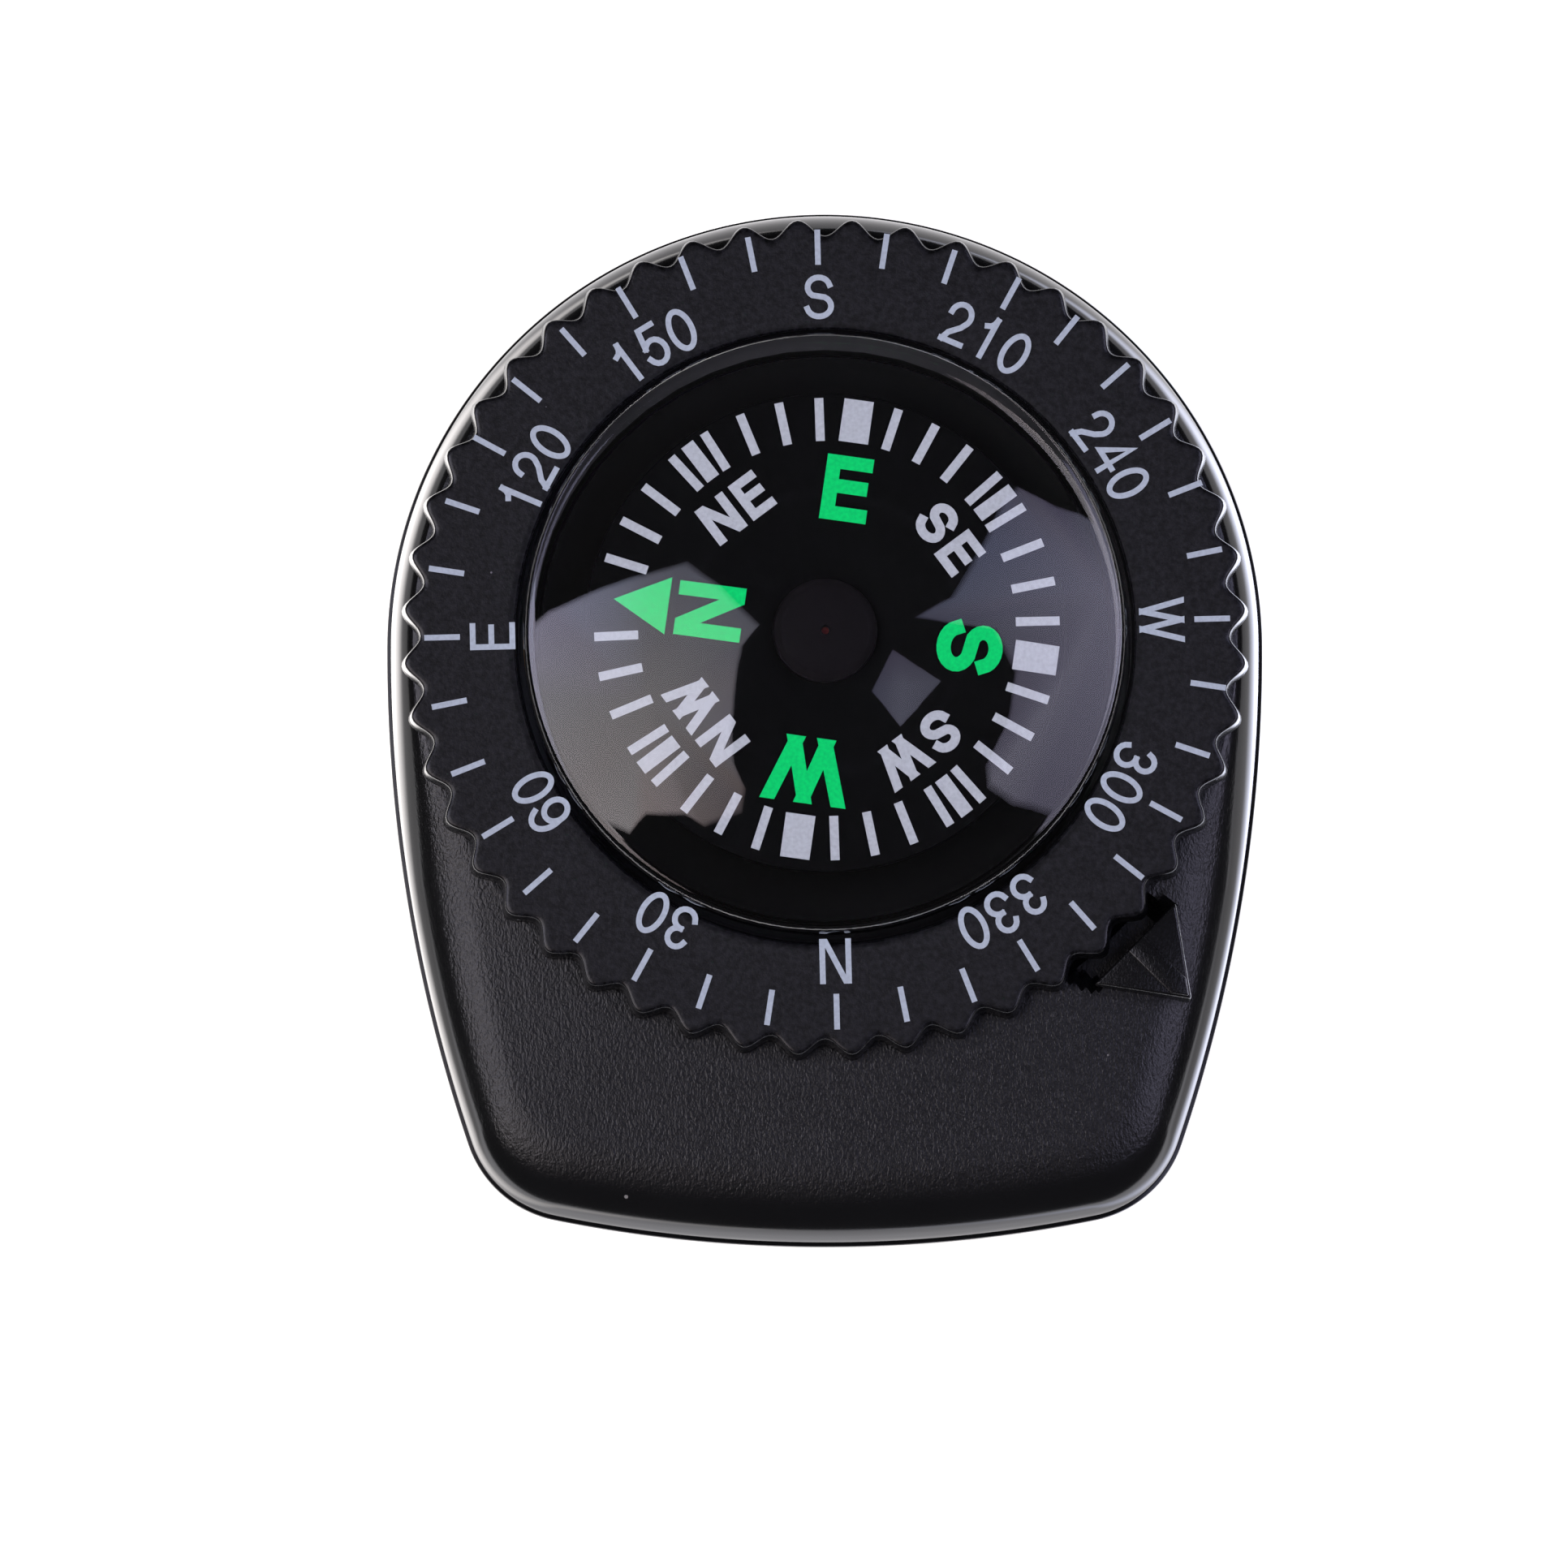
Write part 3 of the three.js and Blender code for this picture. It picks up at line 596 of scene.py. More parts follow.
def scallops_tree():
    """Draws the points of a ring in towards the axis in equal scallops, by their rim attribute."""
    tree, given = tree_with(
        "Scalloped edge",
        [("Scallops", "Int", 48), ("Depth", "Float", 0.0005), ("Plastic", "Material", None)],
    )
    position = add(tree, "GeometryNodeInputPosition")
    x, y = add(tree, "ShaderNodeSeparateXYZ", [position], slice(2))
    angle = add(tree, MATH, [y, x], operation="ARCTAN2")
    wave = add(tree, MATH, [angle, given["Scallops"]], operation="MULTIPLY")
    wave = add(tree, MATH, [wave], operation="COSINE")
    rim = add(tree, "GeometryNodeInputNamedAttribute", {"Name": "rim"}, data_type="FLOAT")
    wave = add(tree, MATH, [wave, 1.0], operation="ADD")
    inwards = add(tree, MATH, [rim, -0.5], operation="MULTIPLY")
    amount = add(tree, MATH, [wave, inwards], operation="MULTIPLY")
    amount = add(tree, MATH, [amount, given["Depth"]], operation="MULTIPLY")
    flat = add(tree, "ShaderNodeCombineXYZ", {0: x, 1: y})
    out = add(tree, "ShaderNodeVectorMath", {0: flat}, operation="NORMALIZE")
    offset = add(tree, "ShaderNodeVectorMath", {0: out, "Scale": amount}, operation="SCALE")
    cut = add(tree, "GeometryNodeSetPosition", {"Geometry": given["Geometry"], "Offset": offset})
    return end_with(tree, cut, given["Plastic"])


def wire_tree():
    """A round wire along a curve."""
    tree, given = tree_with(
        "Wire", [("Radius", "Float", 0.0002), ("Sides", "Int", 12), ("Metal", "Material", None)]
    )
    section = add(
        tree, "GeometryNodeCurvePrimitiveCircle", {"Resolution": given["Sides"], "Radius": given["Radius"]}
    )
    swept = add(
        tree,
        "GeometryNodeCurveToMesh",
        {"Curve": given["Geometry"], "Profile Curve": section, "Fill Caps": True},
    )
    return end_with(tree, swept, given["Metal"])


# ---- Lettering -------------------------------------------------------------------------------

# Each sign: its width for a height of 1, and its strokes as points in a unit square.
SIGNS = {
    "0": (0.6, [arc(0.5, 0.5, 0.5, 0.5, 0, 360, 40)[:-1] + ["closed"]]),
    "1": (0.34, [[(0.75, 0), (0.75, 1)], [(0.0, 0.76), (0.38, 0.8), (0.62, 0.88), (0.75, 1)]]),
    "2": (
        0.58,
        [
            arc(0.5, 0.72, 0.5, 0.28, 178, -28) + [(0.72, 0.42), (0.22, 0.2), (0.03, 0.0)],
            [(0, 0), (1, 0)],
        ],
    ),
    "3": (0.58, [arc(0.5, 0.76, 0.44, 0.24, 165, -90), arc(0.5, 0.26, 0.5, 0.26, 90, -168)]),
    "4": (0.62, [[(0.74, 0), (0.74, 1), (0.0, 0.3), (0.5, 0.3)], [(0.4, 0.3), (1.0, 0.3)]]),
    "5": (0.58, [[(0.92, 1), (0.2, 1), (0.08, 0.5)], [(0.08, 0.5)] + arc(0.5, 0.32, 0.5, 0.32, 130, -160)]),
    "6": (
        0.6,
        [arc(0.52, 0.31, 0.48, 0.31, 0, 360, 30)[:-1] + ["closed"], arc(0.55, 0.55, 0.55, 0.45, 28, 195)],
    ),
    "N": (0.7, [[(0, 0), (0, 1)], [(0.12, 1), (0.88, 0)], [(1, 0), (1, 1)]]),
    "E": (0.6, [[(0, 0), (0, 1)], [(0, 1), (1, 1)], [(0, 0.53), (0.92, 0.53)], [(0, 0), (1, 0)]]),
    "S": (0.66, [arc(0.5, 0.75, 0.46, 0.25, 12, 235) + arc(0.5, 0.26, 0.5, 0.26, 62, -168)]),
    "W": (0.98, [[(0, 1), (0.27, 0)], [(0.27, 0), (0.5, 1)], [(0.5, 1), (0.73, 0)], [(0.73, 0), (1, 1)]]),
}


def strokes_of(sign, height, width, line):
    """A sign's strokes in millimetres, centred on the origin, and whether each is closed."""
    made = []
    for stroke in SIGNS[sign][1]:
        closed = stroke[-1] == "closed"
        points = [p for p in stroke if p != "closed"]
        made.append(
            (
                [((x - 0.5) * (width - line), (y - 0.5) * (height - line)) for x, y in points],
                closed,
            )
        )
    return made


def ribbon(points, line, closed):
    """The points to the left and right of a stroke, half a line's width away."""
    left, right = [], []
    count = len(points)
    for i, point in enumerate(points):
        here = Vector(point)
        before = Vector(points[i - 1]) if closed or i else None
        after = Vector(points[(i + 1) % count]) if closed or i < count - 1 else None
        ahead = (after - here).normalized() if after else (here - before).normalized()
        behind = (here - before).normalized() if before else ahead
        along = (ahead + behind).normalized()
        side = Vector((-along.y, along.x))
        reach = line / 2 / max(0.45, side.dot(Vector((-ahead.y, ahead.x))))
        if not closed and i in (0, count - 1):
            here = here + along * (line / 2 if i else -line / 2)
        left.append(here + side * reach)
        right.append(here - side * reach)
    return left, right


def slant(x0, y0, x1, y1, line):
    """A slanting stroke whose ends are cut level with the top and bottom of its sign."""
    across, rise = x1 - x0, y1 - y0
    half = Vector((line / 2 * math.hypot(across, rise) / abs(rise), 0))
    over = math.copysign(line / 2, rise)
    start = Vector((x0 - across / rise * over, y0 - over))
    end = Vector((x1 + across / rise * over, y1 + over))
    side = half if rise < 0 else -half
    return [start + side, end + side], [start - side, end - side]


class Print:
    """Flat printed shapes on a dial, gathered into one mesh of closed thin solids.

    The strokes of a sign differ slightly in height, so that where they cross, their tops don't coincide.
    """

    layers, layer_step = 5, 0.002

    def __init__(self, centre, bottom, top):
        self.centre = Vector(centre)
        self.bottom = bottom
        self.top = top
        self.layer = 0
        self.points = []
        self.faces = []

    def prism(self, outline):
        """A flat shape with convex quads along it: two rows of points, left and right."""
        left, right, closed = outline
        count = len(left)
        start = len(self.points)
        self.layer = (self.layer + 1) % self.layers
        for height in (self.bottom, self.top + self.layer_step * self.layer):
            for row in (left, right):
                self.points += [(p.x, p.y, height) for p in row]
        lb, rb, lt, rt = (start + count * i for i in range(4))
        last = count if closed else count - 1
        for i in range(last):
            k = (i + 1) % count
            self.faces += [
                (rt + i, rt + k, lt + k, lt + i),
                (rb + k, rb + i, lb + i, lb + k),
                (lb + k, lb + i, lt + i, lt + k),
                (rb + i, rb + k, rt + k, rt + i),
            ]
        if not closed:
            end = count - 1
            self.faces += [(rb, rt, lt, lb), (lb + end, lt + end, rt + end, rb + end)]

    def sign(self, sign, radius, heading, height, line, shift=0.0, stretch=1.0):
        """A sign whose top faces out from the dial's centre, at a radius and a heading in degrees."""
        width = SIGNS[sign][0] * height * stretch
        out = facing(heading)
        along = Vector((out.y, -out.x))
        middle = self.centre + out * radius + along * shift
        for points, closed in strokes_of(sign, height, width, line):
            left, right = ribbon(points, line, closed)
            (x0, y0), (x1, y1) = points[0], points[-1]
            if len(points) == 2 and abs(x1 - x0) > 1e-6 and abs(y1 - y0) > 1e-6:
                left, right = slant(x0, y0, x1, y1, line)
            rows = [[middle + along * p.x + out * p.y for p in row] for row in (left, right)]
            self.prism((rows[0], rows[1], closed))

    def bar(self, inner, outer, heading, width, tip=None):
        """A bar along a heading, or a triangle if the width at its outer end is given as 0."""
        out = facing(heading)
        side = Vector((-out.y, out.x)) / 2
        end = width if tip is None else tip
        left = [self.centre + out * inner + side * width, self.centre + out * outer + side * end]
        right = [self.centre + out * inner - side * width, self.centre + out * outer - side * end]
        self.prism((left, right, False))

    def piece(self, name, finish_):
        """Everything printed so far as one object."""
        return mesh_object(name, self.points, self.faces, [finish_], sharp=30)


# ---- Case ------------------------------------------------------------------------------------

CASE_BOTTOM, CASE_WIDEST, SEAT = 4.2, 6.65, 8.55
SEAT_RADIUS, WELL = 13.3, 9.9
SWELL, LEDGE = 0.08, 0.2
COLLAR_TOP, PLATE_TOP, CEILING = 9.25, 5.3, 7.1
GROOVE = (11.7, 12.5, 8.0)
CROWN_WIDTH, CROWN_SHARE, TOP_RINGS = 2.5, 0.8, 48
GRAIN_START, GRAIN_FADE = 0.6, 0.8
POINTER_HEADING, POINTER_INNER, POINTER_APEX, POINTER_HALF, POINTER_TOP = -44.9, 14.06, 16.62, 1.86, 9.4
# The recess beside the pointer: its depth and how much its across direction leans; then, along the
# pointer's heading and across it, where it starts, where it ends and how wide its slopes are.
POCKET_DEPTH, POCKET_LEAN = 1.3, 0.4
POCKET_ALONG, POCKET_ACROSS = (12, 14.2, 0.1), (-2.0, 1.85, 0.5)


def outline(case):
    """Points round the case's outline with the direction that is out, anticlockwise from +X."""
    radius, reach = case.radius / MM, case.reach / MM
    side, bend, end = case.side_radius / MM, case.corner_radius / MM, case.end_radius / MM
    side_x, end_y = radius - side, end - reach
    apart = math.hypot(side_x, end_y)
    along = ((side - bend) ** 2 - (end - bend) ** 2 + apart**2) / (2 * apart)
    across = math.sqrt((side - bend) ** 2 - along**2)
    ux, uy = -side_x / apart, end_y / apart
    cx, cy = side_x + along * ux + across * uy, along * uy - across * ux
    side_turn = math.degrees(math.atan2(-cy, cx - side_x))
    end_turn = math.degrees(math.atan2(cx, end_y - cy))
    arcs = [
        (0, 0, radius, 0, 180, 192),
        (-side_x, 0, side, 180, 180 + side_turn, 48),
        (-cx, cy, bend, 180 + side_turn, 270 - end_turn, 40),
        (0, end_y, end, 270 - end_turn, 270 + end_turn, 56),
        (cx, cy, bend, 270 + end_turn, 360 - side_turn, 40),
        (side_x, 0, side, 360 - side_turn, 360, 48),
    ]
    made = []
    for x, y, r, start, stop, steps in arcs:
        for i in range(steps):
            out = facing(start + (stop - start) * i / steps)
            made.append((Vector((x, y)) + out * r, out))
    return made


def pocket(x, y):
    """How far the case drops at a point: there is a deep recess between the bezel and the pointer."""
    turned = Matrix.Rotation(math.radians(-POINTER_HEADING), 2) @ Vector((x, y))
    across = turned.y - POCKET_LEAN * (turned.x - POINTER_INNER)
    depth = POCKET_DEPTH
    for value, (low, high, soft) in ((turned.x, POCKET_ALONG), (across, POCKET_ACROSS)):
        depth *= min(1.0, max(0.0, (value - low) / soft)) * min(1.0, max(0.0, (high - value) / soft))
    return depth


def case_rings(case):
    """The case's skin as rings of points, each point with the share of grain on it."""
    line = outline(case)
    rings = []

    def follow(out_by, height):
        rings.append([(*(edge + out * out_by), height, 0.0) for edge, out in line])

    def circle(radius, height):
        rings.append([(*(edge.normalized() * radius), height, 0.0) for edge, _ in line])

    # The side wall, with a narrow ledge where the two halves of the mould met.
    for out_by, height in [
        (-0.55, CASE_BOTTOM),
        (-0.44, 4.24),
        (-0.34, 4.34),
        (-0.27, 4.5),
        (-0.1, 5.2),
        (0.14, 6.1),
        (LEDGE, 6.3),
        (LEDGE, 6.5),
        (LEDGE - 0.02, 6.53),
        (SWELL + 0.01, 6.54),
        (SWELL, 6.56),
    ]:
        follow(out_by, height)
    # The pillow-shaped top, from the side wall in to the bezel's seat.
    for step in range(TOP_RINGS + 1):
        share = (1 - math.cos(math.radians(180 * step / TOP_RINGS))) / 2
        ring = []
        for edge, out in line:
            start, stop = edge + out * SWELL, edge.normalized() * SEAT_RADIUS
            p = start.lerp(stop, share)
            inset, land = (p - start).length, (stop - start).length
            crown = max(0.0, 1 - inset / min(land, CROWN_WIDTH))
            rise = CROWN_SHARE * math.sqrt(1 - crown**2) + (1 - CROWN_SHARE) * share
            grain = min(1.0, max(0.0, (inset - GRAIN_START) / GRAIN_FADE))
            height = CASE_WIDEST + (SEAT - CASE_WIDEST) * rise
            ring.append((p.x, p.y, height - pocket(p.x, p.y), grain))
        rings.append(ring)
    inner, outer, floor = GROOVE
    for radius, height in [
        (outer, SEAT),
        (outer, floor),
        (inner, floor),
        (inner, SEAT),
        (WELL + 0.9, SEAT),
        (WELL + 0.9, SEAT + 0.3),
        (WELL + 1.1, SEAT + 0.45),
        (WELL + 0.85, COLLAR_TOP),
        (WELL + 0.05, COLLAR_TOP),
        (WELL, COLLAR_TOP - 0.06),
        (WELL, PLATE_TOP + 0.1),
        (WELL + 1, PLATE_TOP + 0.1),
        (WELL + 1, CEILING),
    ]:
        circle(radius, height)
    follow(-1.3, CEILING - 0.2)
    follow(-1.3, CASE_BOTTOM)
    return rings


class OBJECT_OT_compass_case(bpy.types.Operator):
    """Makes the case moulding and the raised pointer beside the bezel"""

    bl_idname = "object.compass_case"
    bl_label = "Case"

    def execute(self, context):
        case = context.scene.compass_case
        plastic = grained_abs(case)
        rings = case_rings(case)
        count = len(rings[0])
        points = [p[:3] for ring in rings for p in ring]
        values = [p[3] for ring in rings for p in ring]
        numbers = [list(range(i * count, (i + 1) * count)) for i in range(len(rings))]
        shell = mesh_object(
            "case_moulding", points, bands(numbers, True), [plastic], 32, {"grain": values}
        )
        place(shell, "case", "case_abs", "case_shell")
        place(self.pointer(plastic), "case", "case_abs")
        return {"FINISHED"}

    def pointer(self, plastic):
        """A raised triangle, its long side to the bezel, with a raised band along its middle."""
        edge = 0.1
        corners = [
            Vector((POINTER_INNER, -POINTER_HALF)),
            Vector((POINTER_APEX, 0)),
            Vector((POINTER_INNER, POINTER_HALF)),
        ]
        tall = self.prism("index_pointer", corners, 6.9, POINTER_TOP, edge, plastic)
        band = 0.35
        far = POINTER_APEX - 0.14
        strip = [
            Vector((POINTER_INNER + 0.03, -band)),
            Vector((far - band * 1.35, -band)),
            Vector((far, 0)),
            Vector((far - band * 1.35, band)),
            Vector((POINTER_INNER + 0.03, band)),
        ]
        rib = self.prism("pointer_band", strip, POINTER_TOP - 0.2, POINTER_TOP + 0.1, 0.05, plastic)
        place(rib, "case", "case_abs")
        return tall

    def prism(self, name, corners, bottom, top, edge, plastic):
        """A flat-topped block with rounded edges, turned to the pointer's heading."""
        turned = [Matrix.Rotation(math.radians(POINTER_HEADING), 2) @ c for c in corners]
        count = len(turned)
        points = [(c.x, c.y, z) for z in (bottom, top) for c in turned]
        faces = [tuple(reversed(range(count))), tuple(range(count, 2 * count))]
        faces += [(i, (i + 1) % count, count + (i + 1) % count, count + i) for i in range(count)]
        block = mesh_object(name, points, faces, [plastic])
        bevel = block.modifiers.new("Edges", "BEVEL")
        bevel.width = edge * MM
        bevel.segments = 4
        block = plain_copy(block)
        shade(block.data, 60)
        slight_grain = 0.35
        values = [slight_grain] * len(block.data.vertices)
        block.data.attributes.new("grain", "FLOAT", "POINT").data.foreach_set("value", values)
        return block


class OBJECT_OT_compass_base(bpy.types.Operator):
    """Makes the base plate with its jaw, its screws and the ring under the bezel"""

    bl_idname = "object.compass_base"
    bl_label = "Base plate"

    def execute(self, context):
        plastic = plain_plastic("Satin black ABS", "#19191b", 0.38, 0.25, 0.03, 1.54)
        place(softened("jaw_plate", "base_plate", plastic, 0.06), "case", "case_abs", "base_plate")
        zinc = worked_metal("Zinc-plated steel", "#b3b6ba", 0.32, (1, 1, 6))
        for number in (1, 2, 3):
            node = f"base_screw_{number}"
            place(softened(f"plate_screw_{number}", node, zinc, 0.04), "case", "steel", node)
        rubber = plain_plastic("Nitrile rubber", "#151515", 0.8, 0.15, 0.02, 1.52)
        for node in ("drag_ring", "capsule_gasket", "expansion_diaphragm"):
            keep(node, rubber)
        return {"FINISHED"}


# ---- Bezel -----------------------------------------------------------------------------------

BEZEL_BOTTOM, BEZEL_TOP, BEZEL_DRAFT = 8.7, 9.55, 0.12
SOUTH_HEADING = 91.4
PRINT_CENTRE = (0.07, 0.25)
BEZEL_SIGNS = ["N", "30", "60", "E", "120", "150", "S", "210", "240", "W", "300", "330"]


class OBJECT_OT_compass_bezel(bpy.types.Operator):
    """Makes the scalloped bezel and its printed dial"""

    bl_idname = "object.compass_bezel"
    bl_label = "Bezel"

    def execute(self, context):
        bezel = context.scene.compass_bezel
        plastic = bezel_abs(bezel)
        place(self.ring(bezel, plastic), "bezel", "bezel_abs", "bezel_ring")
        white = ink("Pad-printed grey-blue ink", bezel.ink)
        numerals = self.numerals(bezel, white)
        marks = grown(
            empty_mesh("bezel_marks"),
            dial_marks_tree(),
            count=36,
            left_out_every=1000,
            radius=12.405 * MM,
            length=1.15 * MM,
            width=bezel.line,
            thickness=0.03 * MM,
            start_angle=math.radians(SOUTH_HEADING),
            centre=(PRINT_CENTRE[0] * MM, PRINT_CENTRE[1] * MM, (BEZEL_TOP + 0.003) * MM),
            ink=white,
        )
        for piece in (numerals, marks):
            place(piece, "bezel", "bezel_abs")
        return {"FINISHED"}

    def ring(self, bezel, plastic):
        """The ring's section, turned at its peak radius and then scalloped."""
        peak, bore = bezel.peak / MM, bezel.bore / MM
        # Radius, height, share of the scallop, share of the matt grain.
        section = [
            (peak - 0.06, BEZEL_BOTTOM, 1, 0),
            (peak - 0.02, BEZEL_BOTTOM + 0.02, 1, 0),
            (peak, BEZEL_BOTTOM + 0.07, 1, 0),
            (peak - BEZEL_DRAFT * 0.5, (BEZEL_BOTTOM + BEZEL_TOP) / 2, 1, 0),
            (peak - BEZEL_DRAFT, BEZEL_TOP - 0.1, 1, 0),
            (peak - BEZEL_DRAFT - 0.012, BEZEL_TOP - 0.06, 1, 0),
            (peak - BEZEL_DRAFT - 0.04, BEZEL_TOP - 0.025, 1, 0),
            (peak - BEZEL_DRAFT - 0.09, BEZEL_TOP - 0.006, 1, 0),
            (peak - BEZEL_DRAFT - 0.18, BEZEL_TOP, 1, 0.5),
            (peak - 0.45, BEZEL_TOP, 0.9, 1),
            (peak - 0.9, BEZEL_TOP, 0.35, 1),
            (12.3, BEZEL_TOP, 0, 1),
            (11.4, BEZEL_TOP, 0, 1),
            (bore + 0.25, BEZEL_TOP, 0, 1),
            (bore + 0.06, BEZEL_TOP, 0, 0.3),
            (bore + 0.015, BEZEL_TOP - 0.02, 0, 0),
            (bore, BEZEL_TOP - 0.06, 0, 0),
            (bore, COLLAR_TOP + 0.05, 0, 0),
            (WELL + 1.2, COLLAR_TOP + 0.05, 0, 0),
            (WELL + 1.2, SEAT + 0.35, 0, 0),
            (WELL + 1.02, SEAT + 0.3, 0, 0),
            (WELL + 1.02, BEZEL_BOTTOM, 0, 0),
        ]
        sides = bezel.scallops * 14
        ring = revolve("bezel", section, [plastic], sides, True, 50, ("rim", "grain"))
        ring = grown(ring, scallops_tree(), scallops=bezel.scallops, depth=bezel.depth, plastic=plastic)
        shade(ring.data, 50)
        return ring

    def numerals(self, bezel, white):
        """Twelve signs, clockwise from north, each digit turned to its own place on the arc."""
        dial = Print(PRINT_CENTRE, BEZEL_TOP - 0.012, BEZEL_TOP + 0.018)
        height, line = bezel.digit / MM, bezel.line / MM
        for step, sign in enumerate(BEZEL_SIGNS):
            middle = SOUTH_HEADING + 180 - 30 * step
            for k, digit in enumerate(sign):
                heading = middle - 5.5 * (k - (len(sign) - 1) / 2)
                dial.sign(digit, 10.78, heading, height, line)
        return dial.piece("bezel_numerals", white)


# ---- Capsule ---------------------------------------------------------------------------------


class OBJECT_OT_compass_capsule(bpy.types.Operator):
    """Makes the clear dome and finishes the capsule's inner pieces"""

    bl_idname = "object.compass_capsule"
    bl_label = "Capsule"

    def execute(self, context):
        capsule = context.scene.compass_capsule
        place(self.dome(capsule), "case", "clear_acrylic", "capsule_dome")
        keep("capsule_base", plain_plastic("Black polycarbonate", "#090909", 0.4, 0.4, 0.01, IN_LIQUID))
        keep("filler_plug", worked_metal("Turned brass", "#b08d4a", 0.3, (1, 1, 8)))
        keep("pivot_pin", worked_metal("Hardened steel", "#a9acb0", 0.22, (1, 1, 8)))
        return {"FINISHED"}

    def dome(self, capsule):
        """A cap of a sphere on a short wall; its inner faces are wetted by the liquid."""
        radius, top = capsule.radius / MM, capsule.top / MM
        shoulder, wall = capsule.shoulder / MM, capsule.wall / MM
        chord, rise = radius - 0.5, top - shoulder
        sphere = (chord**2 + rise**2) / (2 * rise)

        def cap(ball, height, edge, steps):
            widest = math.asin(edge / ball)
            turns = [widest * (1 - i / steps) for i in range(steps + 1)]
            return [(ball * math.sin(t), height - ball * (1 - math.cos(t))) for t in turns]

        inner = cap(sphere - wall, top - wall, radius - wall - 0.4, 24)[::-1]
        inner += [(radius - wall, shoulder - wall - 0.4), (radius - wall, 6.8)]
        outer = [
            (radius - 0.05, 6.8),
            (radius, 6.85),
            (radius, shoulder - 0.45),
            (radius - 0.02, shoulder - 0.33),
            (radius - 0.07, shoulder - 0.23),
            (radius - 0.16, shoulder - 0.15),
            (radius - 0.23, shoulder - 0.12),
        ]
        outer += cap(sphere, top, radius - 0.25, 60)
        wetted = len(inner) - 2
        return revolve(
            "dome",
            inner + outer,
            [polished_acrylic(), wetted_acrylic()],
            192,
            sharp=50,
            slot_of=lambda band: 1 if band <= wetted else 0,
        )


# ---- Card ------------------------------------------------------------------------------------

CARD_TOP, CARD_THICK, CARD_RADIUS = 9.8, 0.3, 7.5
CARD_PRINT_SHIFT = (0.06, 0.12)


class OBJECT_OT_compass_card(bpy.types.Operator):
    """Makes the floating card, its hub and its printed dial"""

    bl_idname = "object.compass_card"
    bl_label = "Card"

    def execute(self, context):
        card = context.scene.compass_card
        black = plain_plastic("Lacquered foil", "#070708", 0.55, 0.2, 0.008, IN_LIQUID)
        rim = [(1.15, CARD_TOP - CARD_THICK), (CARD_RADIUS, CARD_TOP - CARD_THICK)]
        rim += [(CARD_RADIUS, CARD_TOP), (1.15, CARD_TOP)]
        disc = revolve("card", rounded(rim, 0.04, 2), [black], 160, loop=True)
        place(disc, "card", "card_black", "card_disc")
        place(self.hub(), "card", "capsule_black", "card_hub")
        keep("jewel_cup", ruby())
        keep("card_magnet", worked_metal("Ground ferrite", "#4b4d52", 0.5, (1, 6, 1)))
        self.dial(card)
        return {"FINISHED"}

    def hub(self):
        """A low boss with a stem through the card and a small eye over the jewel."""
        gloss = plain_plastic("Glossy black acetal", "#171416", 0.4, 0.5, 0.02, IN_LIQUID)
        section = [
            (1.1, CARD_TOP - CARD_THICK - 0.75),
            (1.1, CARD_TOP + 0.05),
            (1.6, CARD_TOP + 0.05),
            (1.6, CARD_TOP + 0.3),
            (1.35, CARD_TOP + 0.42),
            (0.5, CARD_TOP + 0.5),
            (0.13, CARD_TOP + 0.5),
            (0.11, CARD_TOP + 0.15),
            (0.62, CARD_TOP + 0.15),
            (0.62, CARD_TOP - CARD_THICK - 0.75),
        ]
        return revolve("hub", rounded(section, 0.05, 3), [gloss], 96, loop=True)

    def dial(self, card):
        """Marks every ten degrees, four large letters, an arrow and four pairs of small letters."""
        heading = math.degrees(card.heading)
        outer = card.print_radius / MM
        drawn_radius = 7.56
        shrink = outer / drawn_radius
        white = ink("Pad-printed white ink", card.white, IN_LIQUID)
        green = ink("Fluorescent green ink", card.green, IN_LIQUID)
        low, high = CARD_TOP - 0.01, CARD_TOP + 0.02
        length = 1.47 * shrink
        marks = grown(
            empty_mesh("card_marks"),
            dial_marks_tree(),
            count=36,
            left_out_every=9,
            radius=(outer - length / 2) * MM,
            length=length * MM,
            width=0.29 * shrink * MM,
            thickness=0.03 * MM,
            start_angle=math.radians(heading + 10),
            centre=(CARD_PRINT_SHIFT[0] * MM, CARD_PRINT_SHIFT[1] * MM, (CARD_TOP + 0.005) * MM),
            ink=white,
        )
        pale, bright = Print(CARD_PRINT_SHIFT, low, high), Print(CARD_PRINT_SHIFT, low, high)
        for turn in (0, 180, 270):
            pale.bar(outer - length, outer, heading + turn, 0.96 * shrink)
        for step, pair in enumerate(["NE", "SE", "SW", "NW"]):
            middle = heading + 45 - 90 * step
            pale.bar(outer - length, outer, middle, 0.47 * shrink)
            self.word(pale, pair, middle, 4.87 * shrink, 1.42 * shrink, 0.3 * shrink)
        for sign, turn, radius in (("N", 90, 3.79), ("E", 0, 4.54), ("S", 270, 4.62), ("W", 180, 4.64)):
            wide = 1.24 if sign == "W" else 1.16
            bright.sign(sign, radius * shrink, heading + turn, 2.16 * shrink, 0.46 * shrink, 0, wide)
        bright.bar(5.15 * shrink, 6.97 * shrink, heading + 90, 1.86 * shrink, 0.0001)
        for piece in (
            marks,
            pale.piece("card_small_letters", white),
            bright.piece("card_large_letters", green),
        ):
            place(piece, "card", "card_black")

    def word(self, dial, pair, heading, radius, height, line):
        """Two letters side by side on a straight line."""
        widths = [SIGNS[sign][0] * height * 1.12 for sign in pair]
        gap = 0.16 * height
        start = -(sum(widths) + gap) / 2
        for sign, width in zip(pair, widths):
            dial.sign(sign, radius, heading, height, line, start + width / 2, 1.12)
            start += width + gap


# ---- Clip ------------------------------------------------------------------------------------

HINGE_Y, HINGE_Z = -7.0, 3.0


